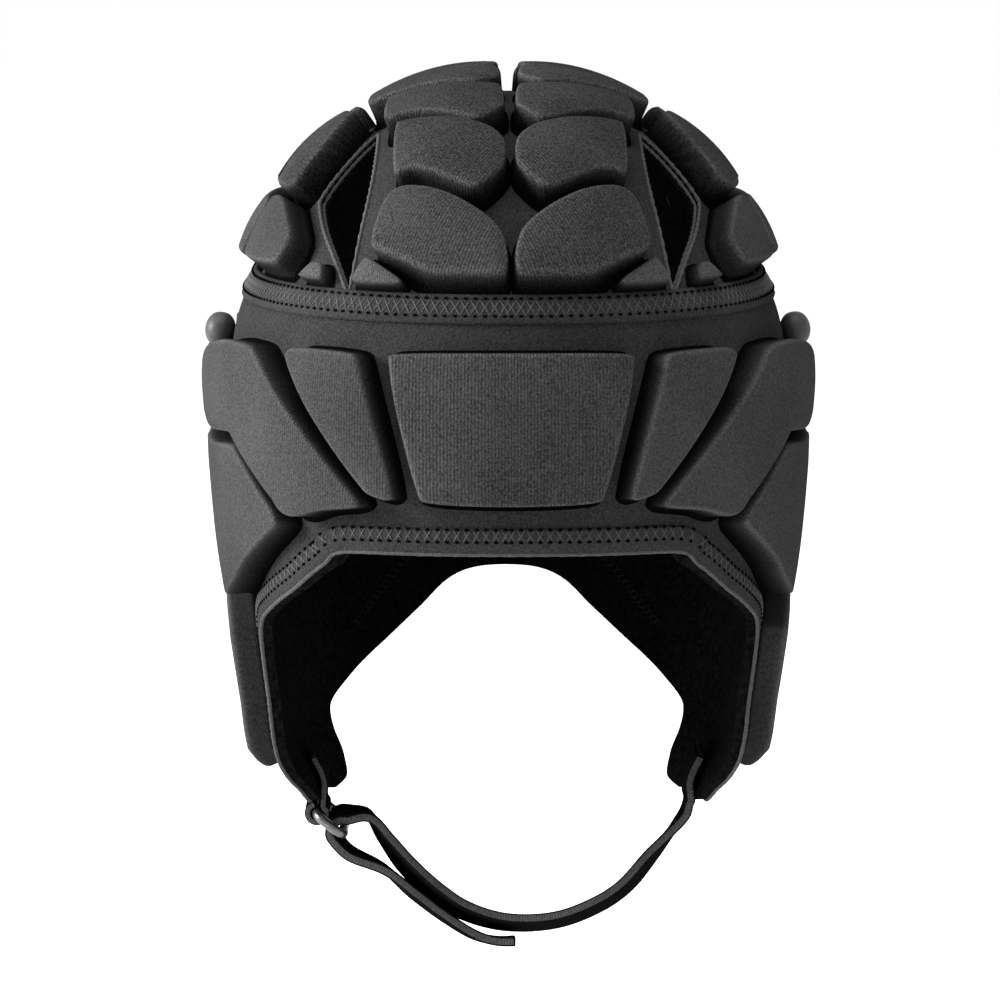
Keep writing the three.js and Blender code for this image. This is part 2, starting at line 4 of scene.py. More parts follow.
import bpy
import numpy as np
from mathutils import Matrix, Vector


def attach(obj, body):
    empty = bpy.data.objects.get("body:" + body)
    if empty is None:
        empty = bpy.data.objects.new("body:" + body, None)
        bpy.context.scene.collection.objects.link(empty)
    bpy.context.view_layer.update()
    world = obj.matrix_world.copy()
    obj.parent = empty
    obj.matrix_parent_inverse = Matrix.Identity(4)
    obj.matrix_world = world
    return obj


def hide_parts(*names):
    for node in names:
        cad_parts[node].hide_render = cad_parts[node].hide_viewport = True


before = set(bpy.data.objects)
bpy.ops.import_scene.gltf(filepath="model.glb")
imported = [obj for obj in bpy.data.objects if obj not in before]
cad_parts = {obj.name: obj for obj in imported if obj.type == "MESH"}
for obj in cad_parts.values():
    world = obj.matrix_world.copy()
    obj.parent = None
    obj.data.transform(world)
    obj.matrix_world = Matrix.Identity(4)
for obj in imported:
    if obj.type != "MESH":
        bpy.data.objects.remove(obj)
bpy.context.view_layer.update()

# Studio
# A pale floor well under the strap, a white room and soft lamps. The cap is seen from in front and
# a little above, from 1.2 m with a long lens.
STUDIO_DISTANCE = 1.2
STUDIO_VIEW = 0.29
STUDIO_TARGET = Vector((-0.0023, 0, -0.1151))
STUDIO_AZIMUTH = math.radians(-0.4)
STUDIO_ELEVATION = math.radians(8)
SENSOR_WIDTH = 36
FLOOR_HEIGHT = -0.30
FLOOR_SIZE = 90
FLOOR_WHITE = 0.96
ROOM_LIGHT = 1.04

scene = bpy.context.scene
scene.view_settings.view_transform = "Standard"


def add_camera():
    back = Vector((
        math.sin(STUDIO_AZIMUTH) * math.cos(STUDIO_ELEVATION),
        -math.cos(STUDIO_AZIMUTH) * math.cos(STUDIO_ELEVATION),
        math.sin(STUDIO_ELEVATION),
    ))
    bpy.ops.object.camera_add(location=STUDIO_TARGET + back * STUDIO_DISTANCE)
    camera = bpy.context.object
    camera.rotation_euler = back.to_track_quat("Z", "Y").to_euler()
    camera.data.sensor_width = SENSOR_WIDTH
    camera.data.lens = SENSOR_WIDTH * STUDIO_DISTANCE / STUDIO_VIEW
    scene.camera = camera


def add_lamp(name, place, size, watts):
    bpy.ops.object.light_add(type="AREA", location=place)
    lamp = bpy.context.object
    lamp.name = name
    lamp.data.shape = "DISK"
    lamp.data.size = size
    lamp.data.energy = watts
    lamp.rotation_euler = (Vector(place) - STUDIO_TARGET).to_track_quat("Z", "Y").to_euler()


def add_floor():
    bpy.ops.mesh.primitive_plane_add(size=FLOOR_SIZE, location=(0, 0, FLOOR_HEIGHT))
    floor = bpy.context.object
    floor.name = "floor"
    paint = bpy.data.materials.new("floor_paint")
    paint.use_nodes = True
    shader = paint.node_tree.nodes["Principled BSDF"]
    shader.inputs["Base Color"].default_value = (FLOOR_WHITE, FLOOR_WHITE, FLOOR_WHITE, 1)
    shader.inputs["Roughness"].default_value = 0.9
    floor.data.materials.append(paint)


def add_room():
    room = bpy.data.worlds.new("room")
    room.use_nodes = True
    background = room.node_tree.nodes["Background"]
    background.inputs["Color"].default_value = (1, 1, 1, 1)
    background.inputs["Strength"].default_value = ROOM_LIGHT
    scene.world = room


bpy.ops.object.select_all(action="DESELECT")
add_camera()
add_floor()
add_room()
add_lamp("lamp_left", (-1.42, -0.2, 0.35), size=0.5, watts=62)
add_lamp("lamp_top", (-0.2, -0.35, 1.3), size=0.8, watts=13)

# Crown
# The dome of knitted cloth over the top of the head, lined with thin foam. It is open in a kite
# shaped vent with overlocked edges on each side, and ends at the seam round the head.
HEAD_HALF_BREADTH = 75.5
HEAD_FRONT = 102.0
HEAD_BACK = 95.0
HEAD_RISE = 76.5
HEAD_ROUND_FRONT = 2.15
HEAD_ROUND_SIDE = 1.98
HEAD_TOP_EASE = 0.02
BEYOND_HEAD = 160
# at the drop shares 0 to 3: the top, the seam, the rim over the forehead, the flaps' lowest edge
HEAD_DROPS = np.array([0, 51.5, 114.5, 205])
# drop share, breadth, front, back, front squareness, back squareness
HEAD_SECTIONS = np.array([
    [0.0, 1.0, 1.0, 1.0, 2.45, 2.45],
    [0.4, 0.99, 1.0, 1.0, 2.45, 2.45],
    [0.8, 0.965, 1.0, 1.0, 2.45, 2.45],
    [1.1, 1.005, 1.0, 1.0, 2.45, 2.45],
    [1.4, 1.007, 1.0, 1.0, 2.45, 2.45],
    [1.7, 0.985, 1.0, 1.0, 2.5, 2.45],
    [2.05, 0.955, 1.0, 0.975, 2.7, 2.45],
    [2.3, 0.91, 0.99, 0.88, 3.2, 2.5],
    [2.55, 0.865, 0.985, 0.69, 3.8, 2.6],
    [2.75, 0.83, 0.98, 0.51, 4.2, 2.7],
    [2.87, 0.76, 0.97, 0.45, 4.2, 2.8],
    [3.0, 0.7, 0.96, 0.42, 4.2, 3.0],
])
CLOTH_WALL = 3.0
SEAM_GAP = 0.2
# side share across, reach share along
VENT = [[0.462, -0.28], [0.573, -0.397], [0.667, -0.47], [0.646, -0.61], [0.6, -0.73],
        [0.552, -0.835], [0.515, -0.745], [0.478, -0.62], [0.463, -0.45]]
VENT_CORNER = 1.2
VENT_CUT_DEPTH = 5
VENT_CUT_HEIGHT = 7
VENT_EDGE = 0.5
VENT_EDGE_STEP = 0.8
VENT_EDGE_ROUGH = 0.28
VENT_LINING_LIFT = 1.5
CLOTH_RELIEF = 0.0004
HANDS = {"right": 1, "left": -1}
PROBE = 0.02
HALVINGS = 34


def drop_at(share):
    return np.interp(share, [0, 1, 2, 3], HEAD_DROPS)


def share_at(drop):
    return np.interp(drop, HEAD_DROPS, [0, 1, 2, 3])


def head_section(share):
    """The row of the sections' table at a drop share, on smooth curves between its rows."""
    at = HEAD_SECTIONS[:, 0]
    share = np.clip(share, at[0], at[-1])
    row = np.clip(np.searchsorted(at, share, side="right") - 1, 0, len(at) - 2)
    slopes = np.gradient(HEAD_SECTIONS, axis=0)
    slopes[1:-1] = HEAD_SECTIONS[2:] - HEAD_SECTIONS[:-2]
    slopes = slopes / slopes[:, :1]
    span = (at[row + 1] - at[row])[:, None]
    s = ((share - at[row]) / span[:, 0])[:, None]
    far = s * s * (3 - 2 * s)
    lean = s * (1 - s) ** 2 * slopes[row] + s * s * (s - 1) * slopes[row + 1]
    return HEAD_SECTIONS[row] * (1 - far) + HEAD_SECTIONS[row + 1] * far + lean * span


def outside_head(points):
    """Below zero inside the head form, zero on it and above zero outside."""
    x, y, z = points.T
    section = head_section(share_at(-z))
    reach = np.where(y < 0, section[:, 2] * HEAD_FRONT, section[:, 3] * HEAD_BACK)
    square = np.where(y < 0, section[:, 4], section[:, 5])
    across = np.abs(x) / (section[:, 1] * HEAD_HALF_BREADTH)
    plan = (across ** square + (np.abs(y) / reach) ** square) ** (1 / square)
    rise = np.maximum(z + HEAD_RISE, 0) / HEAD_RISE
    facing = y * y / (x * x + y * y + HEAD_TOP_EASE)
    around = HEAD_ROUND_SIDE + (HEAD_ROUND_FRONT - HEAD_ROUND_SIDE) * facing
    return (plan ** around + rise ** around) ** (1 / around) - 1


def halved(low, high, place):
    """Where each place from low, inside the head form, to high, outside it, crosses the form."""
    low, high = low.copy(), high.copy()
    for _ in range(HALVINGS):
        middle = (low + high) / 2
        out = outside_head(place(middle)) > 0
        high = np.where(out, middle, high)
        low = np.where(out, low, middle)
    return place((low + high) / 2)


def on_band(turn, drop):
    turn = np.radians(turn)
    x, y = np.sin(turn), -np.cos(turn)
    start = np.zeros(len(turn))
    return halved(start, start + BEYOND_HEAD, lambda r: np.column_stack([x * r, y * r, -drop]))


def on_crown(x, y):
    start = np.zeros(len(x))
    return halved(start - HEAD_RISE, start, lambda z: np.column_stack([x, y, z]))


def head_slopes(points):
    steps = PROBE * np.eye(3)
    return np.column_stack([outside_head(points + d) - outside_head(points - d) for d in steps])


def head_normals(points):
    slopes = head_slopes(points)
    return slopes / np.linalg.norm(slopes, axis=1)[:, None]


def lifted(points, lift):
    return points + head_normals(points) * np.reshape(lift, (-1, 1))


def coords(piece):
    flat = np.zeros(len(piece.data.vertices) * 3)
    piece.data.vertices.foreach_get("co", flat)
    return flat.reshape(-1, 3)


def place_coords(piece, millimetres):
    piece.data.vertices.foreach_set("co", (millimetres / 1000).ravel())
    piece.data.update()


def named(name):
    piece = bpy.context.object
    piece.name = name
    piece.data.name = name
    return piece


def edit(piece):
    bpy.ops.object.select_all(action="DESELECT")
    piece.select_set(True)
    bpy.context.view_layer.objects.active = piece
    bpy.ops.object.mode_set(mode="EDIT")
    bpy.ops.mesh.select_all(action="SELECT")


def done():
    bpy.ops.object.mode_set(mode="OBJECT")


def finish_with(piece, kind, **settings):
    bpy.ops.object.select_all(action="DESELECT")
    piece.select_set(True)
    bpy.context.view_layer.objects.active = piece
    modifier = piece.modifiers.new(kind.lower(), kind)
    for setting, value in settings.items():
        setattr(modifier, setting, value)
    bpy.ops.object.modifier_apply(modifier=modifier.name)


def smooth(piece, degrees=35):
    bpy.ops.object.select_all(action="DESELECT")
    piece.select_set(True)
    bpy.context.view_layer.objects.active = piece
    bpy.ops.object.shade_smooth_by_angle(angle=math.radians(degrees))


def knit_cloth(name, color, light, grain, bump):
    """Fine knit: short wales with a speckle over them, on Object coordinates."""
    cloth = bpy.data.materials.new(name)
    cloth.use_nodes = True
    nodes, links = cloth.node_tree.nodes, cloth.node_tree.links
    shader = nodes["Principled BSDF"]
    shader.inputs["Roughness"].default_value = 0.92
    shader.inputs["Specular IOR Level"].default_value = 0
    place = nodes.new("ShaderNodeTexCoord")
    speckle = nodes.new("ShaderNodeTexNoise")
    speckle.name = "speckle"
    speckle.inputs["Scale"].default_value = grain
    speckle.inputs["Detail"].default_value = 2
    links.new(place.outputs["Object"], speckle.inputs["Vector"])
    patches = nodes.new("ShaderNodeTexNoise")
    patches.inputs["Scale"].default_value = 28
    patches.inputs["Detail"].default_value = 2
    links.new(place.outputs["Object"], patches.inputs["Vector"])
    tone = nodes.new("ShaderNodeMath")
    tone.operation = "MULTIPLY_ADD"
    tone.inputs[1].default_value = 0.35
    links.new(patches.outputs["Fac"], tone.inputs[0])
    links.new(speckle.outputs["Fac"], tone.inputs[2])
    ramp = nodes.new("ShaderNodeValToRGB")
    ramp.name = "tone ramp"
    ramp.color_ramp.elements[0].position = 0.48
    ramp.color_ramp.elements[0].color = (*color, 1)
    ramp.color_ramp.elements[1].position = 0.88
    ramp.color_ramp.elements[1].color = (*light, 1)
    links.new(tone.outputs[0], ramp.inputs["Fac"])
    links.new(ramp.outputs["Color"], shader.inputs["Base Color"])
    relief = nodes.new("ShaderNodeBump")
    relief.name = "relief"
    relief.inputs["Strength"].default_value = bump
    relief.inputs["Distance"].default_value = CLOTH_RELIEF
    links.new(speckle.outputs["Fac"], relief.inputs["Height"])
    links.new(relief.outputs["Normal"], shader.inputs["Normal"])
    return cloth


SHELL_CLOTH = knit_cloth("shell_knit", (0.011, 0.011, 0.0113), (0.03, 0.03, 0.031), 1900, 0.5)
# The lining is black cloth, its colour darkened further as painted shade inside the cap.
LINING_WITH_PAINTED_SHADE = knit_cloth("lining_knit_painted_shade", (0.0015, 0.0015, 0.0015), (0.006, 0.006, 0.006), 700, 0.4)
SLIGHT_BEND = 0.965
LONGEST_CUT = 0.42


def rounded(corners, radius):
    """Sharp corners are cut back and slight bends stay one point."""
    made = []
    for i, corner in enumerate(corners):
        before, after = corners[i - 1], corners[(i + 1) % len(corners)]
        sides = [np.linalg.norm(before - corner), np.linalg.norm(after - corner)]
        if np.linalg.norm(after - before) / sum(sides) > SLIGHT_BEND:
            made.append(corner)
            continue
        for neighbour, side in zip([before, after], sides):
            made.append(corner + (neighbour - corner) * min(radius / side, LONGEST_CUT))
    return np.array(made)


def drawn(corners, radius, spacing):
    """A smooth closed outline through the corners, with points at even steps."""
    line = rounded(np.array(corners, float), radius)
    for _ in range(2):
        ahead = np.roll(line, -1, axis=0)
        line = np.stack([0.75 * line + 0.25 * ahead, 0.25 * line + 0.75 * ahead], 1).reshape(-1, 2)
    closed = np.vstack([line, line[:1]])
    run = np.concatenate([[0], np.cumsum(np.linalg.norm(np.diff(closed, axis=0), axis=1))])
    count = max(int(round(run[-1] / spacing)), 8)
    at = np.linspace(0, run[-1], count, endpoint=False)
    line = np.column_stack([np.interp(at, run, closed[:, k]) for k in range(2)])
    area = np.sum(line[:, 0] * np.roll(line[:, 1], -1) - np.roll(line[:, 0], -1) * line[:, 1])
    return line if area > 0 else line[::-1]


def crown_flat(corners, side=1):
    corners = np.array(corners, float)
    reach = np.where(corners[:, 1] < 0, HEAD_FRONT, HEAD_BACK)
    return np.column_stack([side * corners[:, 0] * HEAD_HALF_BREADTH, corners[:, 1] * reach])


def ngon(name, outline):
    """A flat face with the outline, looking up, from a filled circle."""
    bpy.ops.object.select_all(action="DESELECT")
    bpy.ops.mesh.primitive_circle_add(vertices=len(outline), radius=1, fill_type="NGON")
    piece = named(name)
    flat = np.column_stack([outline, np.zeros(len(outline))])
    piece.data.vertices.foreach_set("co", flat.ravel())
    if piece.data.polygons[0].normal.z < 0:
        edit(piece)
        bpy.ops.mesh.flip_normals()
        done()
    return piece


def lined(cutter):
    """Faces this cutter leaves behind take the lining, the second material of what it cuts."""
    for cloth in (SHELL_CLOTH, LINING_WITH_PAINTED_SHADE):
        cutter.data.materials.append(cloth)
    cutter.data.polygons.foreach_set("material_index", [1] * len(cutter.data.polygons))


def add_vent_cutter(side):
    cutter = ngon("vent_cutter", drawn(crown_flat(VENT, side), VENT_CORNER, 2))
    edit(cutter)
    bpy.ops.mesh.extrude_region_move(TRANSFORM_OT_translate={"value": (0, 0, 1)})
    done()
    flat = coords(cutter)
    lift = np.where(flat[:, 2] > 0.5, VENT_CUT_HEIGHT, -VENT_CUT_DEPTH)
    place_coords(cutter, lifted(on_crown(flat[:, 0], flat[:, 1]), lift))
    edit(cutter)
    bpy.ops.mesh.normals_make_consistent(inside=False)
    done()
    return cutter


def add_crown():
    bpy.ops.object.select_all(action="DESELECT")
    bpy.ops.mesh.primitive_uv_sphere_add(segments=160, ring_count=120, radius=1)
    crown = named("crown_cloth")
    last = 1 - (HEAD_DROPS[1] - SEAM_GAP) / HEAD_RISE
    edit(crown)
    bpy.ops.mesh.bisect(plane_co=(0, 0, last), plane_no=(0, 0, 1), clear_inner=True)
    done()
    ball = coords(crown)
    turn = np.degrees(np.arctan2(ball[:, 0], -ball[:, 1]))
    inner = on_band(turn, HEAD_RISE * (1 - np.clip(ball[:, 2], -1, 0.99999)))
    place_coords(crown, lifted(inner, CLOTH_WALL))
    crown.data.materials.append(SHELL_CLOTH)
    crown.data.materials.append(LINING_WITH_PAINTED_SHADE)
    finish_with(crown, "SOLIDIFY", thickness=CLOTH_WALL / 1000, offset=-1, material_offset=1)
    for side in HANDS.values():
        cutter = add_vent_cutter(side)
        lined(cutter)
        finish_with(crown, "BOOLEAN", operation="DIFFERENCE", object=cutter, solver="EXACT")
        bpy.data.objects.remove(cutter)
    smooth(crown)
    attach(crown, "root")
    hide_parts("crown_shell")


def ringed(name, rings):
    """A closed band round a loop, from rings of points in millimetres, one ring after another."""
    count, sides = rings.shape[:2]
    bpy.ops.object.select_all(action="DESELECT")
    bpy.ops.mesh.primitive_grid_add(x_subdivisions=count, y_subdivisions=sides, size=1)
    piece = named(name)
    grid = coords(piece)
    ring = np.round((grid[:, 0] + 0.5) * count).astype(int) % count
    side = np.round((grid[:, 1] + 0.5) * sides).astype(int) % sides
    place_coords(piece, rings[ring, side])
    edit(piece)
    bpy.ops.mesh.remove_doubles(threshold=1e-6)
    bpy.ops.mesh.normals_make_consistent(inside=False)
    done()
    return piece


def along(line, closed=True):
    """The way the line runs at each of its points."""
    ahead, behind = np.roll(line, -1, axis=0), np.roll(line, 1, axis=0)
    if not closed:
        ahead[-1], behind[0] = line[-1], line[0]
    way = ahead - behind
    return way / np.linalg.norm(way, axis=1)[:, None]


OVERLOCK_TURN = 0.66 * math.pi


def corded(name, line, normals, radius, rough=0.0, sides=8):
    """A thin rolled edge along a closed line, roughened by the turns of its overlock thread."""
    way = along(line)
    across = np.cross(way, normals)
    across /= np.linalg.norm(across, axis=1)[:, None]
    up = np.cross(across, way)
    angle = np.linspace(0, 2 * math.pi, sides, endpoint=False)
    thick = radius * (1 + rough * np.cos(np.arange(len(line)) * OVERLOCK_TURN))[:, None, None]
    turn = np.cos(angle)[:, None] * across[:, None] + np.sin(angle)[:, None] * up[:, None]
    return ringed(name, line[:, None] + thick * turn)


EDGE_THREAD = knit_cloth("edge_overlock", (0.03, 0.03, 0.031), (0.075, 0.075, 0.077), 2500, 0.5)


def add_vent_edges(hand):
    outline = drawn(crown_flat(VENT, HANDS[hand]), VENT_CORNER, VENT_EDGE_STEP)
    inner = on_crown(outline[:, 0], outline[:, 1])
    normals = head_normals(inner)
    for name, lift in (("outer", CLOTH_WALL), ("lining", VENT_LINING_LIFT)):
        line = inner + normals * lift
        edge = corded(f"vent_edge_{name}_{hand}", line, normals, VENT_EDGE, VENT_EDGE_ROUGH)
        edge.data.materials.append(EDGE_THREAD)
        smooth(edge, 70)
        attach(edge, "root")


add_crown()
for vent_hand in HANDS:
    add_vent_edges(vent_hand)

# Band and flaps
# The head band under the seam, with the forehead rim, an ear flap on each side and the nape. It is
# the same knitted cloth over thin foam, cut to one flowing edge.
# reach share, drop share
RIM = [[-1.3, 2.0], [-0.94, 2.01], [-0.88, 2.06], [-0.79, 2.15], [-0.66, 2.23], [-0.54, 2.29],
       [-0.46, 2.36], [-0.425, 2.47], [-0.41, 2.66], [-0.39, 2.77], [-0.34, 2.84], [-0.25, 2.89],
       [-0.11, 2.96], [0.12, 2.96], [0.2, 2.99], [0.28, 2.97], [0.3, 2.9], [0.315, 2.82],
       [0.36, 2.74], [0.46, 2.67], [0.61, 2.57], [0.73, 2.47], [0.85, 2.35], [0.94, 2.27],
       [1.3, 2.26]]
RIM_TENSION = 0.42
RIM_CUTTER_BREADTH = 240


def rim_curve(steps=8):
    """The lower edge seen from the side, in millimetres, on smooth curves through the table."""
    table = np.array(RIM)
    ends = np.vstack([2 * table[0] - table[1], table, 2 * table[-1] - table[-2]])
    t = np.linspace(0, 1, steps, endpoint=False)[:, None]
    line = []
    for p0, p1, p2, p3 in zip(ends, ends[1:], ends[2:], ends[3:]):
        m1, m2 = RIM_TENSION * (p2 - p0), RIM_TENSION * (p3 - p1)
        line.append((2 * t**3 - 3 * t**2 + 1) * p1 + (t**3 - 2 * t**2 + t) * m1
                    + (3 * t**2 - 2 * t**3) * p2 + (t**3 - t**2) * m2)
    line = np.vstack([*line, table[-1:]])
    reach = np.where(line[:, 0] < 0, HEAD_FRONT, HEAD_BACK)
    return np.column_stack([line[:, 0] * reach, -drop_at(line[:, 1])])


def add_band():
    bpy.ops.object.select_all(action="DESELECT")
    bpy.ops.mesh.primitive_cylinder_add(vertices=200, radius=1, depth=1, end_fill_type="NOTHING")
    band = named("band_cloth")
    edit(band)
    for place in np.arange(-0.49, 0.495, 0.01):
        bpy.ops.mesh.select_all(action="SELECT")
        bpy.ops.mesh.bisect(plane_co=(0, 0, place), plane_no=(0, 0, 1))
    done()
    tube = coords(band)
    turn = np.degrees(np.arctan2(tube[:, 0], -tube[:, 1]))
    start, end = HEAD_DROPS[1] + SEAM_GAP, HEAD_DROPS[3] + 2
    inner = on_band(turn, start + (0.5 - tube[:, 2]) * (end - start))
    place_coords(band, lifted(inner, CLOTH_WALL))
    band.data.materials.append(SHELL_CLOTH)
    band.data.materials.append(LINING_WITH_PAINTED_SHADE)
    finish_with(band, "SOLIDIFY", thickness=CLOTH_WALL / 1000, offset=-1, material_offset=1)
    rim = rim_curve()
    rim = np.vstack([[rim[0, 0], 0], rim, [rim[-1, 0], 0]])
    cutter = ngon("rim_cutter", rim)
    edit(cutter)
    bpy.ops.mesh.extrude_region_move(TRANSFORM_OT_translate={"value": (0, 0, 1)})
    done()
    flat = coords(cutter)
    across = (flat[:, 2] - 0.5) * RIM_CUTTER_BREADTH
    place_coords(cutter, np.column_stack([across, flat[:, 0], flat[:, 1]]))
    edit(cutter)
    bpy.ops.mesh.normals_make_consistent(inside=False)
    done()
    lined(cutter)
    finish_with(band, "BOOLEAN", operation="INTERSECT", object=cutter, solver="EXACT")
    bpy.data.objects.remove(cutter)
    smooth(band)
    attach(band, "root")
    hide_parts("band_shell")


def settled(points):
    """Points near the head form, moved onto it."""
    for _ in range(3):
        slope = head_slopes(points) / (2 * PROBE)
        points = points - slope * (outside_head(points) / (slope ** 2).sum(axis=1))[:, None]
    return points


def stepped(line, spacing):
    """An open line again, with points at even steps."""
    run = np.concatenate([[0], np.cumsum(np.linalg.norm(np.diff(line, axis=0), axis=1))])
    at = np.linspace(0, run[-1], int(round(run[-1] / spacing)) + 1)
    return np.column_stack([np.interp(at, run, line[:, k]) for k in range(3)])


RIM_FRONT_TURN = 46
RIM_BACK_TURN = 134
RIM_FRONT_REACH = -50
RIM_BACK_REACH = 40
RIM_STEP = 1.5
RIM_PASSES = 6
RIM_CORRECTION = 0.8


def rim_line():
    """The rim on the head form, from the forehead's middle over the right flap to the nape's."""
    curve = rim_curve()
    ends = []
    for turns, part in (
        (np.linspace(0, RIM_FRONT_TURN, 60), curve[curve[:, 0] < RIM_FRONT_REACH]),
        (np.linspace(RIM_BACK_TURN, 180, 60), curve[curve[:, 0] > RIM_BACK_REACH]),
    ):
        order = np.argsort(part[:, 0])
        z = np.full(len(turns), part[order[0], 1])
        for _ in range(25):
            y = on_band(turns, -z)[:, 1]
            z = 0.5 * z + 0.5 * np.interp(y, part[order, 0], part[order, 1])
        ends.append(on_band(turns, -z))
    middle = curve[(curve[:, 0] > ends[0][-1, 1] + 1) & (curve[:, 0] < ends[1][0, 1] - 1)]
    start = np.zeros(len(middle))
    flap = halved(start, start + BEYOND_HEAD, lambda x: np.column_stack([x, middle]))
    return np.vstack([ends[0], flap, ends[1]])


def both_sides(line):
    """A closed loop from a line over the right side and its mirror over the left."""
    left = line[-2:0:-1] * [-1, 1, 1]
    return np.vstack([line, left])


def rim_offset(line, out):
    """The line moved up over the head form, away from the cut edge."""
    way = along(line, closed=False)
    way[0], way[-1] = [1, 0, 0], [-1, 0, 0]
    up = np.cross(head_normals(line), way)
    up /= np.linalg.norm(up, axis=1)[:, None]
    return settled(line + up * np.reshape(out, (-1, 1)))


def over_rim(points):
    """How far points lie above the cut edge, seen from the side."""
    curve = rim_curve(24)
    near = np.linalg.norm(points[:, None, 1:] - curve[None], axis=2).argmin(axis=1)
    near = np.clip(near, 1, len(curve) - 2)
    way = curve[near + 1] - curve[near - 1]
    way /= np.linalg.norm(way, axis=1)[:, None]
    gap = points[:, 1:] - curve[near]
    return gap[:, 1] * way[:, 0] - gap[:, 0] * way[:, 1]


def outer_rim():
    """The rim on the head form under the cut edge of the cloth's outer face."""
    line = stepped(rim_line(), RIM_STEP)
    for _ in range(RIM_PASSES):
        line = rim_offset(line, -RIM_CORRECTION * over_rim(lifted(line, CLOTH_WALL)))
    return stepped(line, RIM_STEP)


RIM_LINE = outer_rim()
# offset from the rim, height over the shell's outer face
HEM_PROFILE = [[0.2, -0.6], [0.0, 0.25], [0.4, 0.6], [2.6, 0.72], [6.2, 0.66], [6.7, 0.45],
               [6.9, 0.05], [6.8, -0.4]]
HEM_TOP = 0.72
ROLL_RADIUS = 0.55
ROLL_ROUGH = 0.1
ROLL_OUT = 0.1
RIM_NEEDLES = (3.2, 6.6)
RIM_PITCH = 2.5
NAPE_REACH = 42
LINING_SINK = 0.1
HOLE_LENGTH = 1.25
HOLE_WIDTH = 0.8
HOLE_HEIGHT = 0.5
HOLE_LIFT = 0.12
THREAD_WIDTH = 0.5
THREAD_HEIGHT = 0.45
ZIGZAG_LEAN = 58
ZIGZAG_OVERLAP = 1.08


def add_rim_hem():
    rings = []
    for out, lift in HEM_PROFILE:
        line = rim_offset(RIM_LINE, out)
        rings.append(both_sides(lifted(line, CLOTH_WALL + lift)))
    hem = ringed("rim_hem", np.stack(rings, axis=1))
    hem.data.materials.append(HEM_CLOTH)
    smooth(hem, 50)
    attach(hem, "root")


def add_rim_roll():
    line = lifted(rim_offset(RIM_LINE, -ROLL_OUT), CLOTH_WALL + ROLL_OUT)
    roll = both_sides(line)
    edge = corded("rim_roll", roll, head_normals(roll), ROLL_RADIUS, ROLL_ROUGH)
    edge.data.materials.append(EDGE_THREAD)
    smooth(edge, 70)
    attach(edge, "root")


def bead(length, width, height):
    """One stitch of thread: a small capsule along X."""
    bpy.ops.object.select_all(action="DESELECT")
    bpy.ops.mesh.primitive_uv_sphere_add(segments=8, ring_count=6, radius=0.5)
    stitch = bpy.context.object
    edit(stitch)
    bpy.ops.transform.rotate(value=math.pi / 2, orient_axis="Y", center_override=(0, 0, 0))
    bpy.ops.transform.resize(value=(length, width, height), center_override=(0, 0, 0))
    done()
    return stitch


def copied(name, pattern, centres, ways, normals, cloth):
    """Copies of one small piece, laid along a line with their own directions, as one mesh."""
    shape = coords(pattern)
    faces = [list(face.vertices) for face in pattern.data.polygons]
    across = np.cross(normals, ways)
    points = (centres[:, None] + shape[None, :, :1] * ways[:, None]
              + shape[None, :, 1:2] * across[:, None] + shape[None, :, 2:] * normals[:, None])
    count = len(shape)
    all_faces = [[v + k * count for v in face] for k in range(len(centres)) for face in faces]
    mesh = bpy.data.meshes.new(name)
    mesh.from_pydata((points.reshape(-1, 3) / 1000).tolist(), [], all_faces)
    bpy.data.objects.remove(pattern)
    row = bpy.data.objects.new(name, mesh)
    scene.collection.objects.link(row)
    mesh.materials.append(cloth)
    mesh.shade_smooth()
    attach(row, "root")


def turned_ways(ways, normals, degrees):
    angle = math.radians(degrees)
    return ways * math.cos(angle) + np.cross(normals, ways) * math.sin(angle)


def coverstitch(name, low, high, lift, pitch, thread):
    """Zigzag looper threads between two rows of needle holes, on two lines beside each other. The
    holes are beads painted near black as shade.
    """
    count = int(np.linalg.norm(np.diff(low, axis=0), axis=1).sum() / pitch)
    at = np.linspace(0, len(low) - 1, count)
    index = np.arange(len(low))
    rows = []
    for line in (low, high):
        rows.append(np.column_stack([np.interp(at, index, line[:, k]) for k in range(3)]))
    middle = (rows[0] + rows[1]) / 2
    normals = head_normals(middle)
    ways = along(middle, closed=False)
    ways -= normals * (ways * normals).sum(axis=1)[:, None]
    ways /= np.linalg.norm(ways, axis=1)[:, None]
    wide = float(np.linalg.norm(rows[1] - rows[0], axis=1).mean())
    for kind, lean in (("zig", ZIGZAG_LEAN), ("zag", 180 - ZIGZAG_LEAN)):
        stitch = bead(wide * ZIGZAG_OVERLAP, THREAD_WIDTH, THREAD_HEIGHT)
        leaning = turned_ways(ways, normals, lean)
        copied(f"{name}_{kind}", stitch, middle + normals * lift, leaning, normals, thread)
    # each needle hole is a near-black bead: painted shade where the hole sinks into the cloth
    for kind, line in (("low", rows[0]), ("high", rows[1])):
        hole = bead(HOLE_LENGTH, HOLE_WIDTH, HOLE_HEIGHT)
        places = line + normals * (lift + HOLE_LIFT)
        copied(f"{name}_holes_{kind}", hole, places, ways, normals, HOLE_PAINTED_SHADE)


def set_finish(cloth, rough, shine):
    shader = cloth.node_tree.nodes["Principled BSDF"]
    shader.inputs["Roughness"].default_value = rough
    shader.inputs["Specular IOR Level"].default_value = shine


HEM_CLOTH = knit_cloth("hem_knit", (0.014, 0.014, 0.0144), (0.034, 0.034, 0.035), 1900, 0.6)
THREAD = knit_cloth("looper_thread", (0.02, 0.02, 0.0205), (0.046, 0.046, 0.047), 2600, 0.4)
set_finish(THREAD, 0.5, 0.15)
LINING_THREAD = knit_cloth("lining_thread", (0.006, 0.006, 0.006), (0.016, 0.016, 0.016), 2600, 0.4)
HOLE_PAINTED_SHADE = knit_cloth("needle_hole_painted_shade", (0.001, 0.001, 0.001), (0.002, 0.002, 0.002), 1100, 0.1)

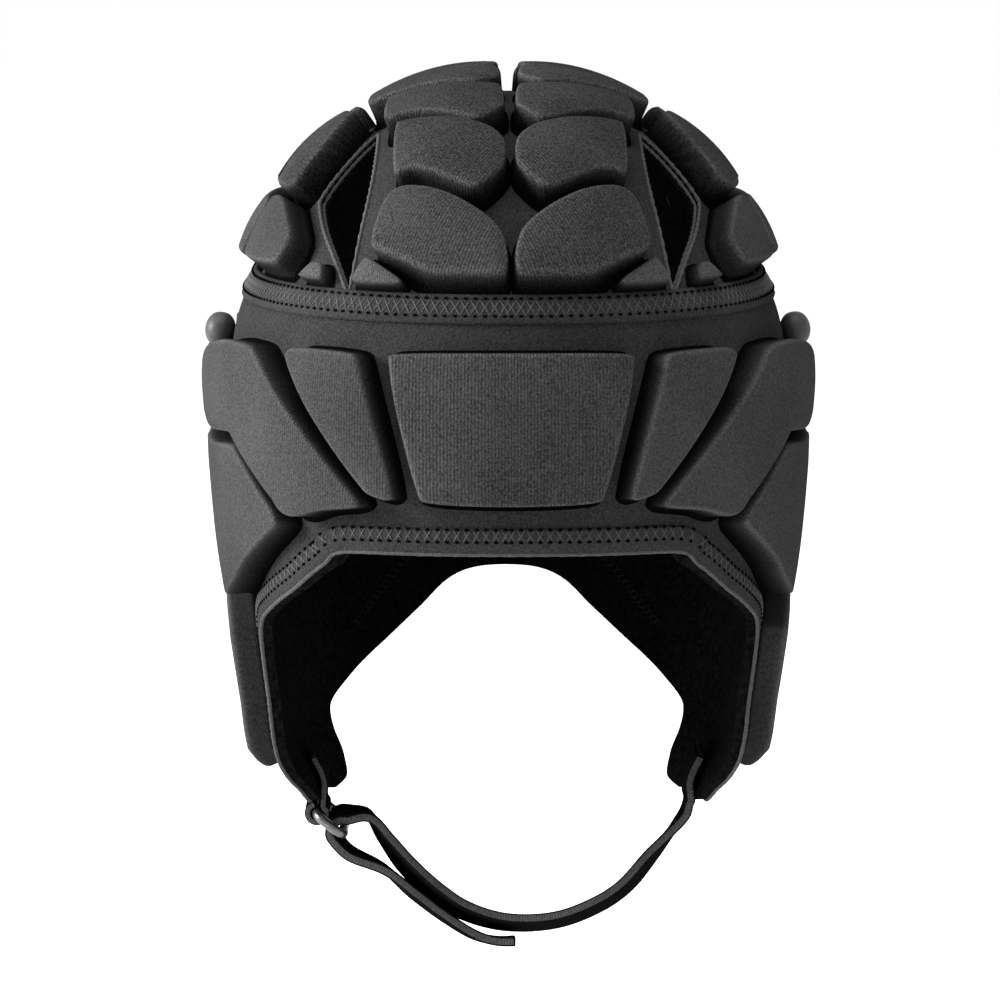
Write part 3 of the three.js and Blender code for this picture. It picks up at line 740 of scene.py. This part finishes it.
add_band()
add_rim_hem()
add_rim_roll()
stitch_low, stitch_high = [both_sides(rim_offset(RIM_LINE, out)) for out in RIM_NEEDLES]
coverstitch("rim_stitch", stitch_low, stitch_high, CLOTH_WALL + HEM_TOP, RIM_PITCH,
            THREAD)
nape = slice(len(RIM_LINE) - NAPE_REACH, len(RIM_LINE) + NAPE_REACH - 1)
coverstitch("lining_stitch", stitch_low[nape], stitch_high[nape], -LINING_SINK, RIM_PITCH,
            LINING_THREAD)

# Seam tape
# A flat knitted tape that covers the seam between crown and band, held by the same coverstitch of
# two needle rows and a zigzag looper thread.
# distance down from the seam, height over the shell's outer face
TAPE_PROFILE = [[-3.7, -0.3], [-3.6, 0.7], [-3.2, 1.15], [-1.5, 1.3], [1.6, 1.3], [3.2, 1.15],
                [3.6, 0.7], [3.7, -0.3]]
TAPE_LOW_NEEDLE = 1.9
TAPE_HIGH_NEEDLE = -2.4
TAPE_TOP = 1.35
TAPE_PITCH = 2.3


def seam_line(down, lift):
    turn = np.arange(0, 360.0)
    return lifted(on_band(turn, np.full(len(turn), HEAD_DROPS[1] + down)), CLOTH_WALL + lift)


def add_tape():
    rings = [seam_line(down, lift) for down, lift in TAPE_PROFILE]
    tape = ringed("seam_tape_knit", np.stack(rings, axis=1))
    tape.data.materials.append(HEM_CLOTH)
    smooth(tape, 50)
    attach(tape, "root")
    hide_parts("seam_tape")


add_tape()
tape_low, tape_high = [seam_line(down, 0) for down in (TAPE_LOW_NEEDLE, TAPE_HIGH_NEEDLE)]
coverstitch("tape_stitch", tape_low, tape_high, TAPE_TOP, TAPE_PITCH, THREAD)

# Foam pads
# Blocks of foam under the stretched cloth, bonded to the shell. Each has a flat, slightly swollen
# face, a soft edge and steep sides, and the cloth runs in a tight fillet onto the shell. Painted
# shade darkens the cloth down the sides and a painted highlight runs along the face's edge.
PAD_CORNER = 1.7
PAD_SPACING = 1.0
# the first rows lie outside the outline as a flat foot of cloth that carries painted shade round
# the pad
# inset from the outline, height over the shell's outer face
PAD_SIDE = [[-0.9, 0.1], [-0.6, 0.2], [-0.25, 0.7], [0.0, 2.0], [0.12, 3.6], [0.24, 5.2],
            [0.34, 6.6], [0.42, 7.35], [0.6, 7.85], [0.88, 8.2], [1.2, 8.38], [1.6, 8.48]]
PAD_LEVELS = len(PAD_SIDE)
PAD_SWELL = 0.7
# how much wider the dark foot is on the pad's downhill side, as a painted shadow under the pad
DOWNHILL_SHADOW_SPREAD = 0.8
FACE_RING_STEP = 3.2
SIDE_RINGS_SHARE = 0.3
# height over the shell, how much of the cloth's colour the painted shade leaves (1 for none)
SIDE_PAINTED_SHADE = [[0, 0.04], [0.8, 0.06], [3, 0.2], [6, 0.5], [7.8, 1.0]]
# a painted highlight along the edge of the pad's face: its inset, width, gain and the height it
# starts above
HIGHLIGHT_INSET = 0.85
HIGHLIGHT_WIDTH = 0.4
HIGHLIGHT_GAIN = 0.45
HIGHLIGHT_HEIGHT = 7
CROWN_KNIT_SLANT = 40
# height share of the small pads, and how far painted light lifts the painted shade on the sides
# that face open air
LOW_PADS = {"corner_pad_front": 0.55, "corner_pad_side": 0.55}
OPEN_SIDE_PAINTED_LIGHT = {"cheek_pad": 0.55, "lower_side_pad_1": 0.3}
# side share across, reach share along
CROWN_PADS = {
    "crown_pad_1": [[0.006, -0.94], [0.006, -0.885], [0.055, -0.85], [0.14, -0.81], [0.24, -0.765],
                    [0.33, -0.735], [0.39, -0.732], [0.45, -0.828], [0.32, -0.893], [0.24, -0.925]],
    "crown_pad_2": [[0.375, -0.488], [0.2, -0.533], [0.075, -0.585], [0.012, -0.64], [0.008, -0.73],
                    [0.108, -0.797], [0.19, -0.768], [0.31, -0.7], [0.38, -0.71]],
    "crown_pad_3": [[0.4, -0.27], [0.2, -0.31], [0.02, -0.35], [0.01, -0.5], [0.105, -0.575],
                    [0.19, -0.53], [0.3, -0.468], [0.415, -0.455]],
    "crown_pad_4": [[0.47, -0.04], [0.2, -0.07], [0.035, -0.1], [0.02, -0.26], [0.105, -0.325],
                    [0.2, -0.285], [0.46, -0.22]],
    "crown_pad_5": [[0.46, 0.2], [0.2, 0.24], [0.08, 0.25], [0.025, 0.18], [0.035, -0.045],
                    [0.2, -0.045], [0.47, -0.01]],
    "crown_pad_6": [[0.42, 0.44], [0.2, 0.5], [0.08, 0.51], [0.015, 0.44], [0.02, 0.24],
                    [0.09, 0.28], [0.22, 0.265], [0.43, 0.225]],
    "crown_pad_7": [[0.4, 0.67], [0.2, 0.74], [0.09, 0.76], [0.01, 0.68], [0.012, 0.5],
                    [0.09, 0.54], [0.21, 0.53], [0.415, 0.47]],
    "crown_pad_8": [[0.44, 0.81], [0.25, 0.91], [0.008, 0.935], [0.008, 0.73], [0.09, 0.78],
                    [0.21, 0.77], [0.41, 0.7]],
    "upper_side_pad_1": [[0.49, -0.21], [0.585, -0.375], [0.675, -0.45], [0.725, -0.37],
                         [0.755, -0.2], [0.63, -0.06], [0.52, -0.09]],
    "upper_side_pad_2": [[0.53, -0.04], [0.64, -0.01], [0.755, -0.13], [0.77, 0.1], [0.71, 0.26],
                         [0.52, 0.2]],
    "upper_side_pad_3": [[0.49, 0.25], [0.71, 0.32], [0.68, 0.46], [0.56, 0.66], [0.455, 0.6]],
}
# turn in degrees from the forehead, drop share
SIDE_PADS = {
    "corner_pad_front": [[23, 0.78], [25, 0.9], [24, 0.925], [16.2, 0.92], [16.2, 0.885]],
    "corner_pad_side": [[31, 0.835], [34, 0.83], [36.8, 0.92], [30, 0.925]],
    "lower_side_pad_1": [[50.8, 0.575], [44.6, 0.635], [38.4, 0.74], [40.4, 0.91], [60, 0.91],
                         [63, 0.72], [60, 0.57]],
    "lower_side_pad_2": [[65, 0.6], [67, 0.74], [64, 0.91], [92, 0.91], [95, 0.74], [92, 0.6]],
    "lower_side_pad_3": [[96, 0.61], [98.5, 0.75], [96, 0.91], [128, 0.91], [130, 0.61]],
    "wedge_pad": [[20.6, 1.18], [32.6, 1.175], [33.4, 1.23], [20.4, 1.74], [18.4, 1.78],
                  [15.2, 1.785]],
    "diagonal_pad": [[41, 1.19], [52, 1.19], [68, 1.25], [79, 1.36], [79, 1.55], [64, 1.6],
                     [47.5, 1.56], [37.6, 1.75], [34, 1.88], [30.6, 1.895], [26.5, 1.845],
                     [19.6, 1.82], [21.6, 1.74], [30.2, 1.46], [37.4, 1.27]],
    "temple_pad": [[47.6, 1.6], [64, 1.64], [78, 1.62], [78, 2.1], [62, 2.24], [49, 2.17],
                   [43, 2.08], [33.4, 1.93], [36.4, 1.83]],
    "cheek_pad": [[57, 2.32], [78, 2.2], [100, 2.2], [105, 2.4], [105, 2.76], [92, 2.84],
                  [63, 2.74], [60, 2.5]],
    "ear_pad": [[83, 1.38], [108, 1.25], [118, 1.3], [118, 1.6], [83, 1.58]],
    "ear_back_pad": [[82, 1.63], [118, 1.65], [120, 2.0], [106, 2.14], [82, 2.13]],
    "nape_side_pad": [[122, 1.22], [156, 1.2], [158, 2.04], [146, 2.14], [124, 2.08]],
}
# one half of each pad that crosses the middle line
MIDDLE_PADS = {
    "forehead_pad": [[0, 1.17], [17.4, 1.175], [12.8, 1.79], [0, 1.8]],
    "nape_pad": [[180, 1.2], [161, 1.2], [163, 2.06], [180, 2.08]],
}
BAND_ARC = math.radians(1) * (HEAD_HALF_BREADTH + HEAD_FRONT) / 2


def band_flat(corners, side=1):
    corners = np.array(corners, float)
    return np.column_stack([side * corners[:, 0] * BAND_ARC, -drop_at(corners[:, 1])])


def on_shell(flat, chart):
    if chart == "crown":
        return on_crown(flat[:, 0], flat[:, 1])
    return on_band(flat[:, 0] / BAND_ARC, -flat[:, 1])


def add_ribs(cloth, layer, scale, height):
    """Ribs across a UV layer, raised over the cloth's speckle."""
    nodes, links = cloth.node_tree.nodes, cloth.node_tree.links
    weave = nodes.new("ShaderNodeUVMap")
    weave.uv_map = layer
    ribs = nodes.new("ShaderNodeTexWave")
    ribs.inputs["Scale"].default_value = scale
    links.new(weave.outputs["UV"], ribs.inputs["Vector"])
    both = nodes.new("ShaderNodeMath")
    both.operation = "MULTIPLY_ADD"
    both.inputs[1].default_value = height
    links.new(ribs.outputs["Fac"], both.inputs[0])
    links.new(nodes["speckle"].outputs["Fac"], both.inputs[2])
    links.new(both.outputs[0], nodes["relief"].inputs["Height"])
    return ribs


def knit_pad(name, color, light, rib, show):
    """Ribbed, speckled knit pulled over foam, with a painted highlight on the pad's edge and
    painted shade down its side, read from the tone attribute.
    """
    cloth = knit_cloth(name, color, light, 1700, 0.6)
    ribs = add_ribs(cloth, "knit", rib, 0.35)
    ribs.inputs["Distortion"].default_value = 1.5
    ribs.inputs["Detail Scale"].default_value = 3
    nodes, links = cloth.node_tree.nodes, cloth.node_tree.links
    tint = nodes.new("ShaderNodeMapRange")
    tint.inputs["To Min"].default_value = 1 - show
    tint.inputs["To Max"].default_value = 1 + show / 2
    links.new(ribs.outputs["Fac"], tint.inputs["Value"])
    # the tone attribute holds painted shade and a painted highlight, multiplied into the colour
    side = nodes.new("ShaderNodeAttribute")
    side.attribute_name = "tone"
    painted_shade_mix = nodes.new("ShaderNodeMix")
    painted_shade_mix.data_type = "RGBA"
    painted_shade_mix.blend_type = "MULTIPLY"
    painted_shade_mix.inputs["Factor"].default_value = 1
    links.new(nodes["tone ramp"].outputs["Color"], painted_shade_mix.inputs["A"])
    darker = nodes.new("ShaderNodeMath")
    darker.operation = "MULTIPLY"
    links.new(side.outputs["Fac"], darker.inputs[0])
    links.new(tint.outputs["Result"], darker.inputs[1])
    links.new(darker.outputs[0], painted_shade_mix.inputs["B"])
    links.new(painted_shade_mix.outputs["Result"], nodes["Principled BSDF"].inputs["Base Color"])
    return cloth


PAD_CLOTH = knit_pad("pad_knit", (0.012, 0.012, 0.0123), (0.044, 0.044, 0.045), 4.5, 0.22)
SIDE_PAD_CLOTH = knit_pad("side_pad_knit", (0.02, 0.02, 0.0205), (0.044, 0.044, 0.045), 5.5, 0.07)


def pad_painted_light_and_shade(inset, height, painted_open_light):
    """Painted light and shade by the cloth's place on the pad: painted shade low on the side, a
    painted highlight on the edge.
    """
    side = np.interp(height, *np.transpose(SIDE_PAINTED_SHADE))
    # painted light lifts the painted shade on sides that face open air
    side = np.maximum(side, painted_open_light * np.clip(height - 1, 0, 1))
    # a painted highlight along the edge of the face
    edge = np.exp(-((inset - HIGHLIGHT_INSET) / HIGHLIGHT_WIDTH) ** 2) * (height > HIGHLIGHT_HEIGHT)
    return side * (1 + HIGHLIGHT_GAIN * edge)


def inward(outline):
    """Directions into the outline, turned slowly round its corners so that no rings cross."""
    way = np.roll(outline, -1, axis=0) - np.roll(outline, 1, axis=0)
    way /= np.linalg.norm(way, axis=1)[:, None]
    into = np.column_stack([-way[:, 1], way[:, 0]])
    for _ in range(3):
        into = (np.roll(into, 1, axis=0) + into + np.roll(into, -1, axis=0)) / 3
    return into / np.linalg.norm(into, axis=1)[:, None]


def disc(name, count, inner):
    """A closed round block with a ring of vertices for every level of a pad's side and face."""
    bpy.ops.object.select_all(action="DESELECT")
    bpy.ops.mesh.primitive_circle_add(vertices=count, radius=1, fill_type="NGON")
    piece = named(name)
    if piece.data.polygons[0].normal.z < 0:
        edit(piece)
        bpy.ops.mesh.flip_normals()
        done()
    edit(piece)
    bpy.ops.mesh.extrude_region_move(TRANSFORM_OT_translate={"value": (0, 0, 1)})
    for _ in range(PAD_LEVELS - 1):
        bpy.ops.mesh.inset(thickness=SIDE_RINGS_SHARE / PAD_LEVELS, depth=1)
    for k in range(inner, 1, -1):
        bpy.ops.mesh.extrude_region_move(TRANSFORM_OT_translate={"value": (0, 0, 1)})
        bpy.ops.transform.resize(value=((k - 1) / k, (k - 1) / k, 1),
                                 center_override=(0, 0, PAD_LEVELS + inner - k + 1))
    bpy.ops.mesh.poke()
    done()
    return piece


def block(name, outline, uphill, low):
    """A pad's block, flat: its x and y in its chart, its height over the shell, its inset. A low
    pad has a smaller edge too."""
    heart = outline.mean(axis=0)
    widest = np.linalg.norm(outline - heart, axis=1).max()
    inner = max(int(round(widest / FACE_RING_STEP)), 3)
    piece = disc(name, len(outline), inner)
    round_block = coords(piece)
    start = math.atan2(round_block[0, 1], round_block[0, 0])
    angle = np.arctan2(round_block[:, 1], round_block[:, 0]) - start
    place = np.round(angle / (2 * math.pi) * len(outline)).astype(int) % len(outline)
    level = np.round(round_block[:, 2]).astype(int)
    # the dark foot spreads further on the downhill side: a painted shadow under the pad
    fillet = 1 + DOWNHILL_SHADOW_SPREAD * np.clip((inward(outline) * uphill).sum(axis=1), 0, 1)
    side = np.array([PAD_SIDE[0], *PAD_SIDE])
    row = np.minimum(level, PAD_LEVELS)
    inset = side[row, 0]
    height = np.where(level == 0, 0, side[row, 1])
    inset = inset * np.where(inset < 0, fillet[place], low)
    flat = outline[place] + inward(outline)[place] * inset[:, None]
    share = np.clip((inner + PAD_LEVELS - level) / inner, 0, 1)
    share[np.hypot(round_block[:, 0], round_block[:, 1]) < 1e-5] = 0
    flat = heart + (flat - heart) * share[:, None]
    swell = np.where(level >= PAD_LEVELS, PAD_SWELL * (1 - share ** 2), 0)
    return piece, flat, height, swell, inset


def set_layer(piece, layer, flat):
    """Lays flat places in millimetres on a UV layer, in centimetres."""
    uv = piece.data.uv_layers.new(name=layer)
    corner_of = np.zeros(len(piece.data.loops), int)
    piece.data.loops.foreach_get("vertex_index", corner_of)
    uv.data.foreach_set("uv", (flat / 10)[corner_of].ravel())


def add_pad(name, hand, corners, chart, cloth, slant):
    side = HANDS.get(hand, 1)
    tail = f"_{hand}" if hand else ""
    flat_of = crown_flat if chart == "crown" else band_flat
    low = LOW_PADS.get(name, 1)
    outline = drawn(flat_of(corners, side), PAD_CORNER * low, PAD_SPACING * low)
    uphill = np.array([[0, 1.0]])
    if chart == "crown":
        uphill = -outline / np.linalg.norm(outline, axis=1)[:, None]
    pad, flat, height, swell, inset = block(f"{name}_foam{tail}", outline, uphill, low)
    # painted shade and highlight, stored as an attribute that the pad's material multiplies into
    # its colour
    tone = pad.data.attributes.new("tone", "FLOAT", "POINT")
    tone.data.foreach_set("value", pad_painted_light_and_shade(inset, height, OPEN_SIDE_PAINTED_LIGHT.get(name, 0)))
    turn = math.radians(slant * side)
    u = flat[:, 0] * math.cos(turn) + flat[:, 1] * math.sin(turn)
    v = flat[:, 1] * math.cos(turn) - flat[:, 0] * math.sin(turn)
    set_layer(pad, "knit", np.column_stack([u, v]))
    place_coords(pad, lifted(on_shell(flat, chart), CLOTH_WALL + (height + swell) * low))
    pad.data.materials.append(cloth)
    smooth(pad, 60)
    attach(pad, "root")
    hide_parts(name + tail)


for pad_name, pad_corners in CROWN_PADS.items():
    for pad_hand in HANDS:
        add_pad(pad_name, pad_hand, pad_corners, "crown", PAD_CLOTH, CROWN_KNIT_SLANT)
for pad_name, pad_corners in SIDE_PADS.items():
    for pad_hand in HANDS:
        add_pad(pad_name, pad_hand, pad_corners, "band", SIDE_PAD_CLOTH, 0)
for pad_name, half in MIDDLE_PADS.items():
    middle = half[0][0]
    others = [[2 * middle - turn, share] for turn, share in half if turn != middle][::-1]
    add_pad(pad_name, None, half + others, "band", PAD_CLOTH, 0)

# Side buttons
# A round foam knob on each side of the band, over the ear. It is covered in smooth cloth and
# bonded to the shell.
BUTTON_TURN = 90
BUTTON_DROP = 1.235
BUTTON_HALF = 5.0
BUTTON_HEIGHT = 8.5
BUTTON_TOP_GAP = 0.3
BUTTON_FLATNESS = 0.85


def add_button(hand):
    bpy.ops.object.select_all(action="DESELECT")
    bpy.ops.mesh.primitive_uv_sphere_add(segments=40, ring_count=24, radius=1)
    button = named(f"side_knob_{hand}")
    ball = coords(button)
    turn = np.array([HANDS[hand] * BUTTON_TURN], float)
    foot = on_band(turn, drop_at(np.array([BUTTON_DROP])))
    normal = head_normals(foot)
    foot = foot + normal * CLOTH_WALL
    aside = np.cross(normal, [[0, 0, 1.0]])
    aside /= np.linalg.norm(aside)
    up = np.cross(aside, normal)
    out = np.sign(ball[:, 2]) * np.abs(ball[:, 2]) ** BUTTON_FLATNESS
    height = (out * 0.5 + 0.5) * (BUTTON_HEIGHT + BUTTON_TOP_GAP)
    points = foot + ball[:, :1] * aside * BUTTON_HALF + ball[:, 1:2] * up * BUTTON_HALF
    place_coords(button, points + height[:, None] * normal)
    button.data.materials.append(KNOB_CLOTH)
    edit(button)
    bpy.ops.mesh.normals_make_consistent(inside=False)
    done()
    smooth(button, 60)
    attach(button, "root")
    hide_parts(f"side_button_{hand}")


KNOB_CLOTH = knit_cloth("knob_cloth", (0.018, 0.018, 0.0185), (0.03, 0.03, 0.031), 900, 0.2)
set_finish(KNOB_CLOTH, 0.55, 0.35)
for button_hand in HANDS:
    add_button(button_hand)

# Strap ring
# A small rectangular ring of bent, dark coated wire that hangs under the left flap and takes the
# folded end of the chin strap.
WIRE_HALF = 1.4
RING_TURN = -90
RING_FOOT_SHARE = 2.96
RING_LIFT = 1.5
RING_DROP = 4.0
RING_SLOPE = math.radians(38)
RING_REACH = 9.7
RING_HALF_WIDTH = 11.8
RING_CORNER = 3.5
RING_STEP = 0.7

ring_seat = on_band(np.array([RING_TURN], float), drop_at(np.array([RING_FOOT_SHARE])))
ring_top = lifted(ring_seat, RING_LIFT)[0]
ring_top[2] -= RING_DROP
ring_down = np.array([math.cos(RING_SLOPE), 0, -math.sin(RING_SLOPE)])
ring_foot = ring_top + ring_down * RING_REACH


def ring_metal():
    metal = bpy.data.materials.new("ring_metal")
    metal.use_nodes = True
    nodes, links = metal.node_tree.nodes, metal.node_tree.links
    shader = nodes["Principled BSDF"]
    shader.inputs["Metallic"].default_value = 0.9
    place = nodes.new("ShaderNodeTexCoord")
    wear = nodes.new("ShaderNodeTexNoise")
    wear.inputs["Scale"].default_value = 700
    links.new(place.outputs["Object"], wear.inputs["Vector"])
    ramp = nodes.new("ShaderNodeValToRGB")
    ramp.color_ramp.elements[0].color = (0.05, 0.05, 0.053, 1)
    ramp.color_ramp.elements[1].color = (0.16, 0.16, 0.165, 1)
    links.new(wear.outputs["Fac"], ramp.inputs["Fac"])
    links.new(ramp.outputs["Color"], shader.inputs["Base Color"])
    rough = nodes.new("ShaderNodeMapRange")
    rough.inputs["To Min"].default_value = 0.2
    rough.inputs["To Max"].default_value = 0.4
    links.new(wear.outputs["Fac"], rough.inputs["Value"])
    links.new(rough.outputs["Result"], shader.inputs["Roughness"])
    return metal


def add_ring():
    aside = np.array([0, 1.0, 0])
    middle = (ring_top + ring_foot) / 2
    line = []
    for a, b, start in ((1, 1, 0), (-1, 1, 90), (-1, -1, 180), (1, -1, 270)):
        for angle in np.radians(start + np.linspace(0, 90, 9)):
            out = aside * math.cos(angle) + ring_down * math.sin(angle)
            corner = middle + aside * a * (RING_HALF_WIDTH - RING_CORNER)
            line.append(corner + ring_down * b * (RING_REACH / 2 - RING_CORNER) + out * RING_CORNER)
    closed = np.array([*line, line[0]])
    line = stepped(closed, RING_STEP)[:-1]
    face = np.tile(np.cross(ring_down, aside), (len(line), 1))
    ring = corded("wire_ring", line, face, WIRE_HALF, sides=16)
    ring.data.materials.append(ring_metal())
    smooth(ring, 80)
    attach(ring, "root")
    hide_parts("strap_ring")


add_ring()

# Chin strap and ring tab
# Flat woven webbing. One strip runs from inside the right flap under the chin, through the ring and
# back to a cut end. A short strip, sewn inside the left flap, is folded round the ring's upper bar.
WEBBING_HALF = 9.0
WEBBING_THICK = 2.8
TAB_THICK = 1.8
CHIN_DROP = 42
SEWN_CLEAR = 1.6
SEWN_SHARES = (2.84, 2.91)
STRAP_FOLD = 4.0
STRAP_BEND = range(70, 231, 40)
TAB_FOLD = 2.7
TAB_BEND = range(45, -256, -30)
SELVEDGE = 0.3
# across share, drop share under the flaps, tilt of the front edge in degrees
STRAP_MAIN = [
    [0.695, 0.03, 3], [0.64, 0.18, 9], [0.56, 0.36, 16], [0.46, 0.58, 19], [0.36, 0.71, 21],
    [0.19, 0.83, 22], [-0.01, 0.845, 23], [-0.17, 0.76, 24], [-0.28, 0.63, 24], [-0.39, 0.44, 22],
    [-0.47, 0.25, 16], [-0.54, 0.08, 8],
]
STRAP_BACK = [
    [-0.62, 0.34, 4], [-0.48, 0.465, 10], [-0.36, 0.65, 14], [-0.24, 0.815, 14], [-0.12, 0.945, 14],
    [-0.04, 0.98, 13], [0.03, 0.98, 12],
]


def webbing(name, color, light):
    """Woven webbing: fine ribs across the strip, with a speckle of yarn."""
    cloth = knit_cloth(name, color, light, 1800, 0.4)
    ribs = add_ribs(cloth, "weave", 3.6, 0.8)
    ribs.inputs["Distortion"].default_value = 0.6
    return cloth


def sewn(turn, thick):
    """Where a strip lies flat inside a flap, sewn to the lining."""
    turns = np.full(len(SEWN_SHARES), turn, float)
    points = lifted(on_band(turns, drop_at(np.array(SEWN_SHARES))), -SEWN_CLEAR - thick / 2)
    return [(point, 0) for point in points]


def wrapped(bar, radius, turns):
    """A bend round a bar, seen from the front."""
    made = []
    for turn in np.radians(list(turns)):
        made.append((bar + radius * np.array([math.cos(turn), 0, math.sin(turn)]), 0))
    return made


def hanging(rows):
    """The free stretch under the flaps, with its tilts."""
    return [(np.array([across * HEAD_HALF_BREADTH, 0, -HEAD_DROPS[3] - drop * CHIN_DROP]), tilt)
            for across, drop, tilt in rows]


def through(route, steps):
    """Places and tilts on a centripetal curve through the route."""
    points = np.array([at for at, _ in route])
    tilts = np.array([tilt for _, tilt in route], float)
    ends = np.vstack([2 * points[0] - points[1], points, 2 * points[-1] - points[-2]])
    gaps = np.sqrt(np.linalg.norm(np.diff(ends, axis=0), axis=1))
    made, turned = [], []
    for i in range(len(points) - 1):
        p0, p1, p2, p3 = ends[i:i + 4]
        d0, d1, d2 = gaps[i:i + 3]
        m1 = ((p1 - p0) / d0 - (p2 - p0) / (d0 + d1) + (p2 - p1) / d1) * d1
        m2 = ((p2 - p1) / d1 - (p3 - p1) / (d1 + d2) + (p3 - p2) / d2) * d1
        for t in np.arange(steps) / steps:
            made.append((2 * t**3 - 3 * t**2 + 1) * p1 + (t**3 - 2 * t**2 + t) * m1
                        + (3 * t**2 - 2 * t**3) * p2 + (t**3 - t**2) * m2)
            turned.append(tilts[i] + (tilts[i + 1] - tilts[i]) * t)
    return np.array([*made, points[-1]]), np.array([*turned, tilts[-1]])


def add_strip(name, route, thick, steps, node):
    """A flat strip along a route of places and tilts, its faces near black as painted shade and its
    woven edges paler as painted light.
    """
    points, tilts = through(route, steps)
    count = len(points)
    way = along(points, closed=False)
    level = np.tile([0, -1.0, 0], (count, 1))
    face = np.cross(way, level)
    face /= np.linalg.norm(face, axis=1)[:, None]
    lean = np.radians(tilts) * np.where(way[:, 0] < 0, -1, 1)
    across = level * np.cos(lean)[:, None] - face * np.sin(lean)[:, None]
    bpy.ops.object.select_all(action="DESELECT")
    bpy.ops.mesh.primitive_grid_add(x_subdivisions=count - 1, y_subdivisions=8, size=1)
    strip = named(name)
    grid = coords(strip)
    station = np.round((grid[:, 0] + 0.5) * (count - 1)).astype(int)
    run = np.concatenate([[0], np.cumsum(np.linalg.norm(np.diff(points, axis=0), axis=1))])
    set_layer(strip, "weave", np.column_stack([run[station], grid[:, 1] * 2 * WEBBING_HALF]))
    half = WEBBING_HALF - SELVEDGE
    place_coords(strip, points[station] + across[station] * grid[:, 1:2] * 2 * half)
    strip.data.materials.append(WEBBING_FACE_PAINTED_SHADE)
    strip.data.materials.append(WEBBING_EDGE_PAINTED_LIGHT)
    finish_with(strip, "SOLIDIFY", thickness=thick / 1000, offset=0, material_offset_rim=1)
    # the bevel takes the faces' painted shade, a dark line along each edge
    finish_with(strip, "BEVEL", width=0.0005, segments=2, limit_method="ANGLE",
                angle_limit=math.radians(50), material=0)
    smooth(strip, 50)
    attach(strip, "root")
    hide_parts(node)


# One webbing painted twice: near black on its faces as painted shade, paler on its edges as painted
# light.
WEBBING_FACE_PAINTED_SHADE = webbing("webbing_face_painted_shade", (0.002, 0.002, 0.002), (0.006, 0.006, 0.006))
WEBBING_EDGE_PAINTED_LIGHT = webbing("webbing_edge_painted_light", (0.028, 0.028, 0.0285), (0.055, 0.055, 0.056))
strap_route = [
    *sewn(90, WEBBING_THICK), *hanging(STRAP_MAIN), *wrapped(ring_foot, STRAP_FOLD, STRAP_BEND),
    *hanging(STRAP_BACK),
]
add_strip("chin_strap_webbing", strap_route, WEBBING_THICK, 8, "chin_strap")
tab_route = [*sewn(-90, TAB_THICK), *wrapped(ring_top, TAB_FOLD, TAB_BEND)]
add_strip("ring_tab_webbing", tab_route, TAB_THICK, 6, "ring_tab")
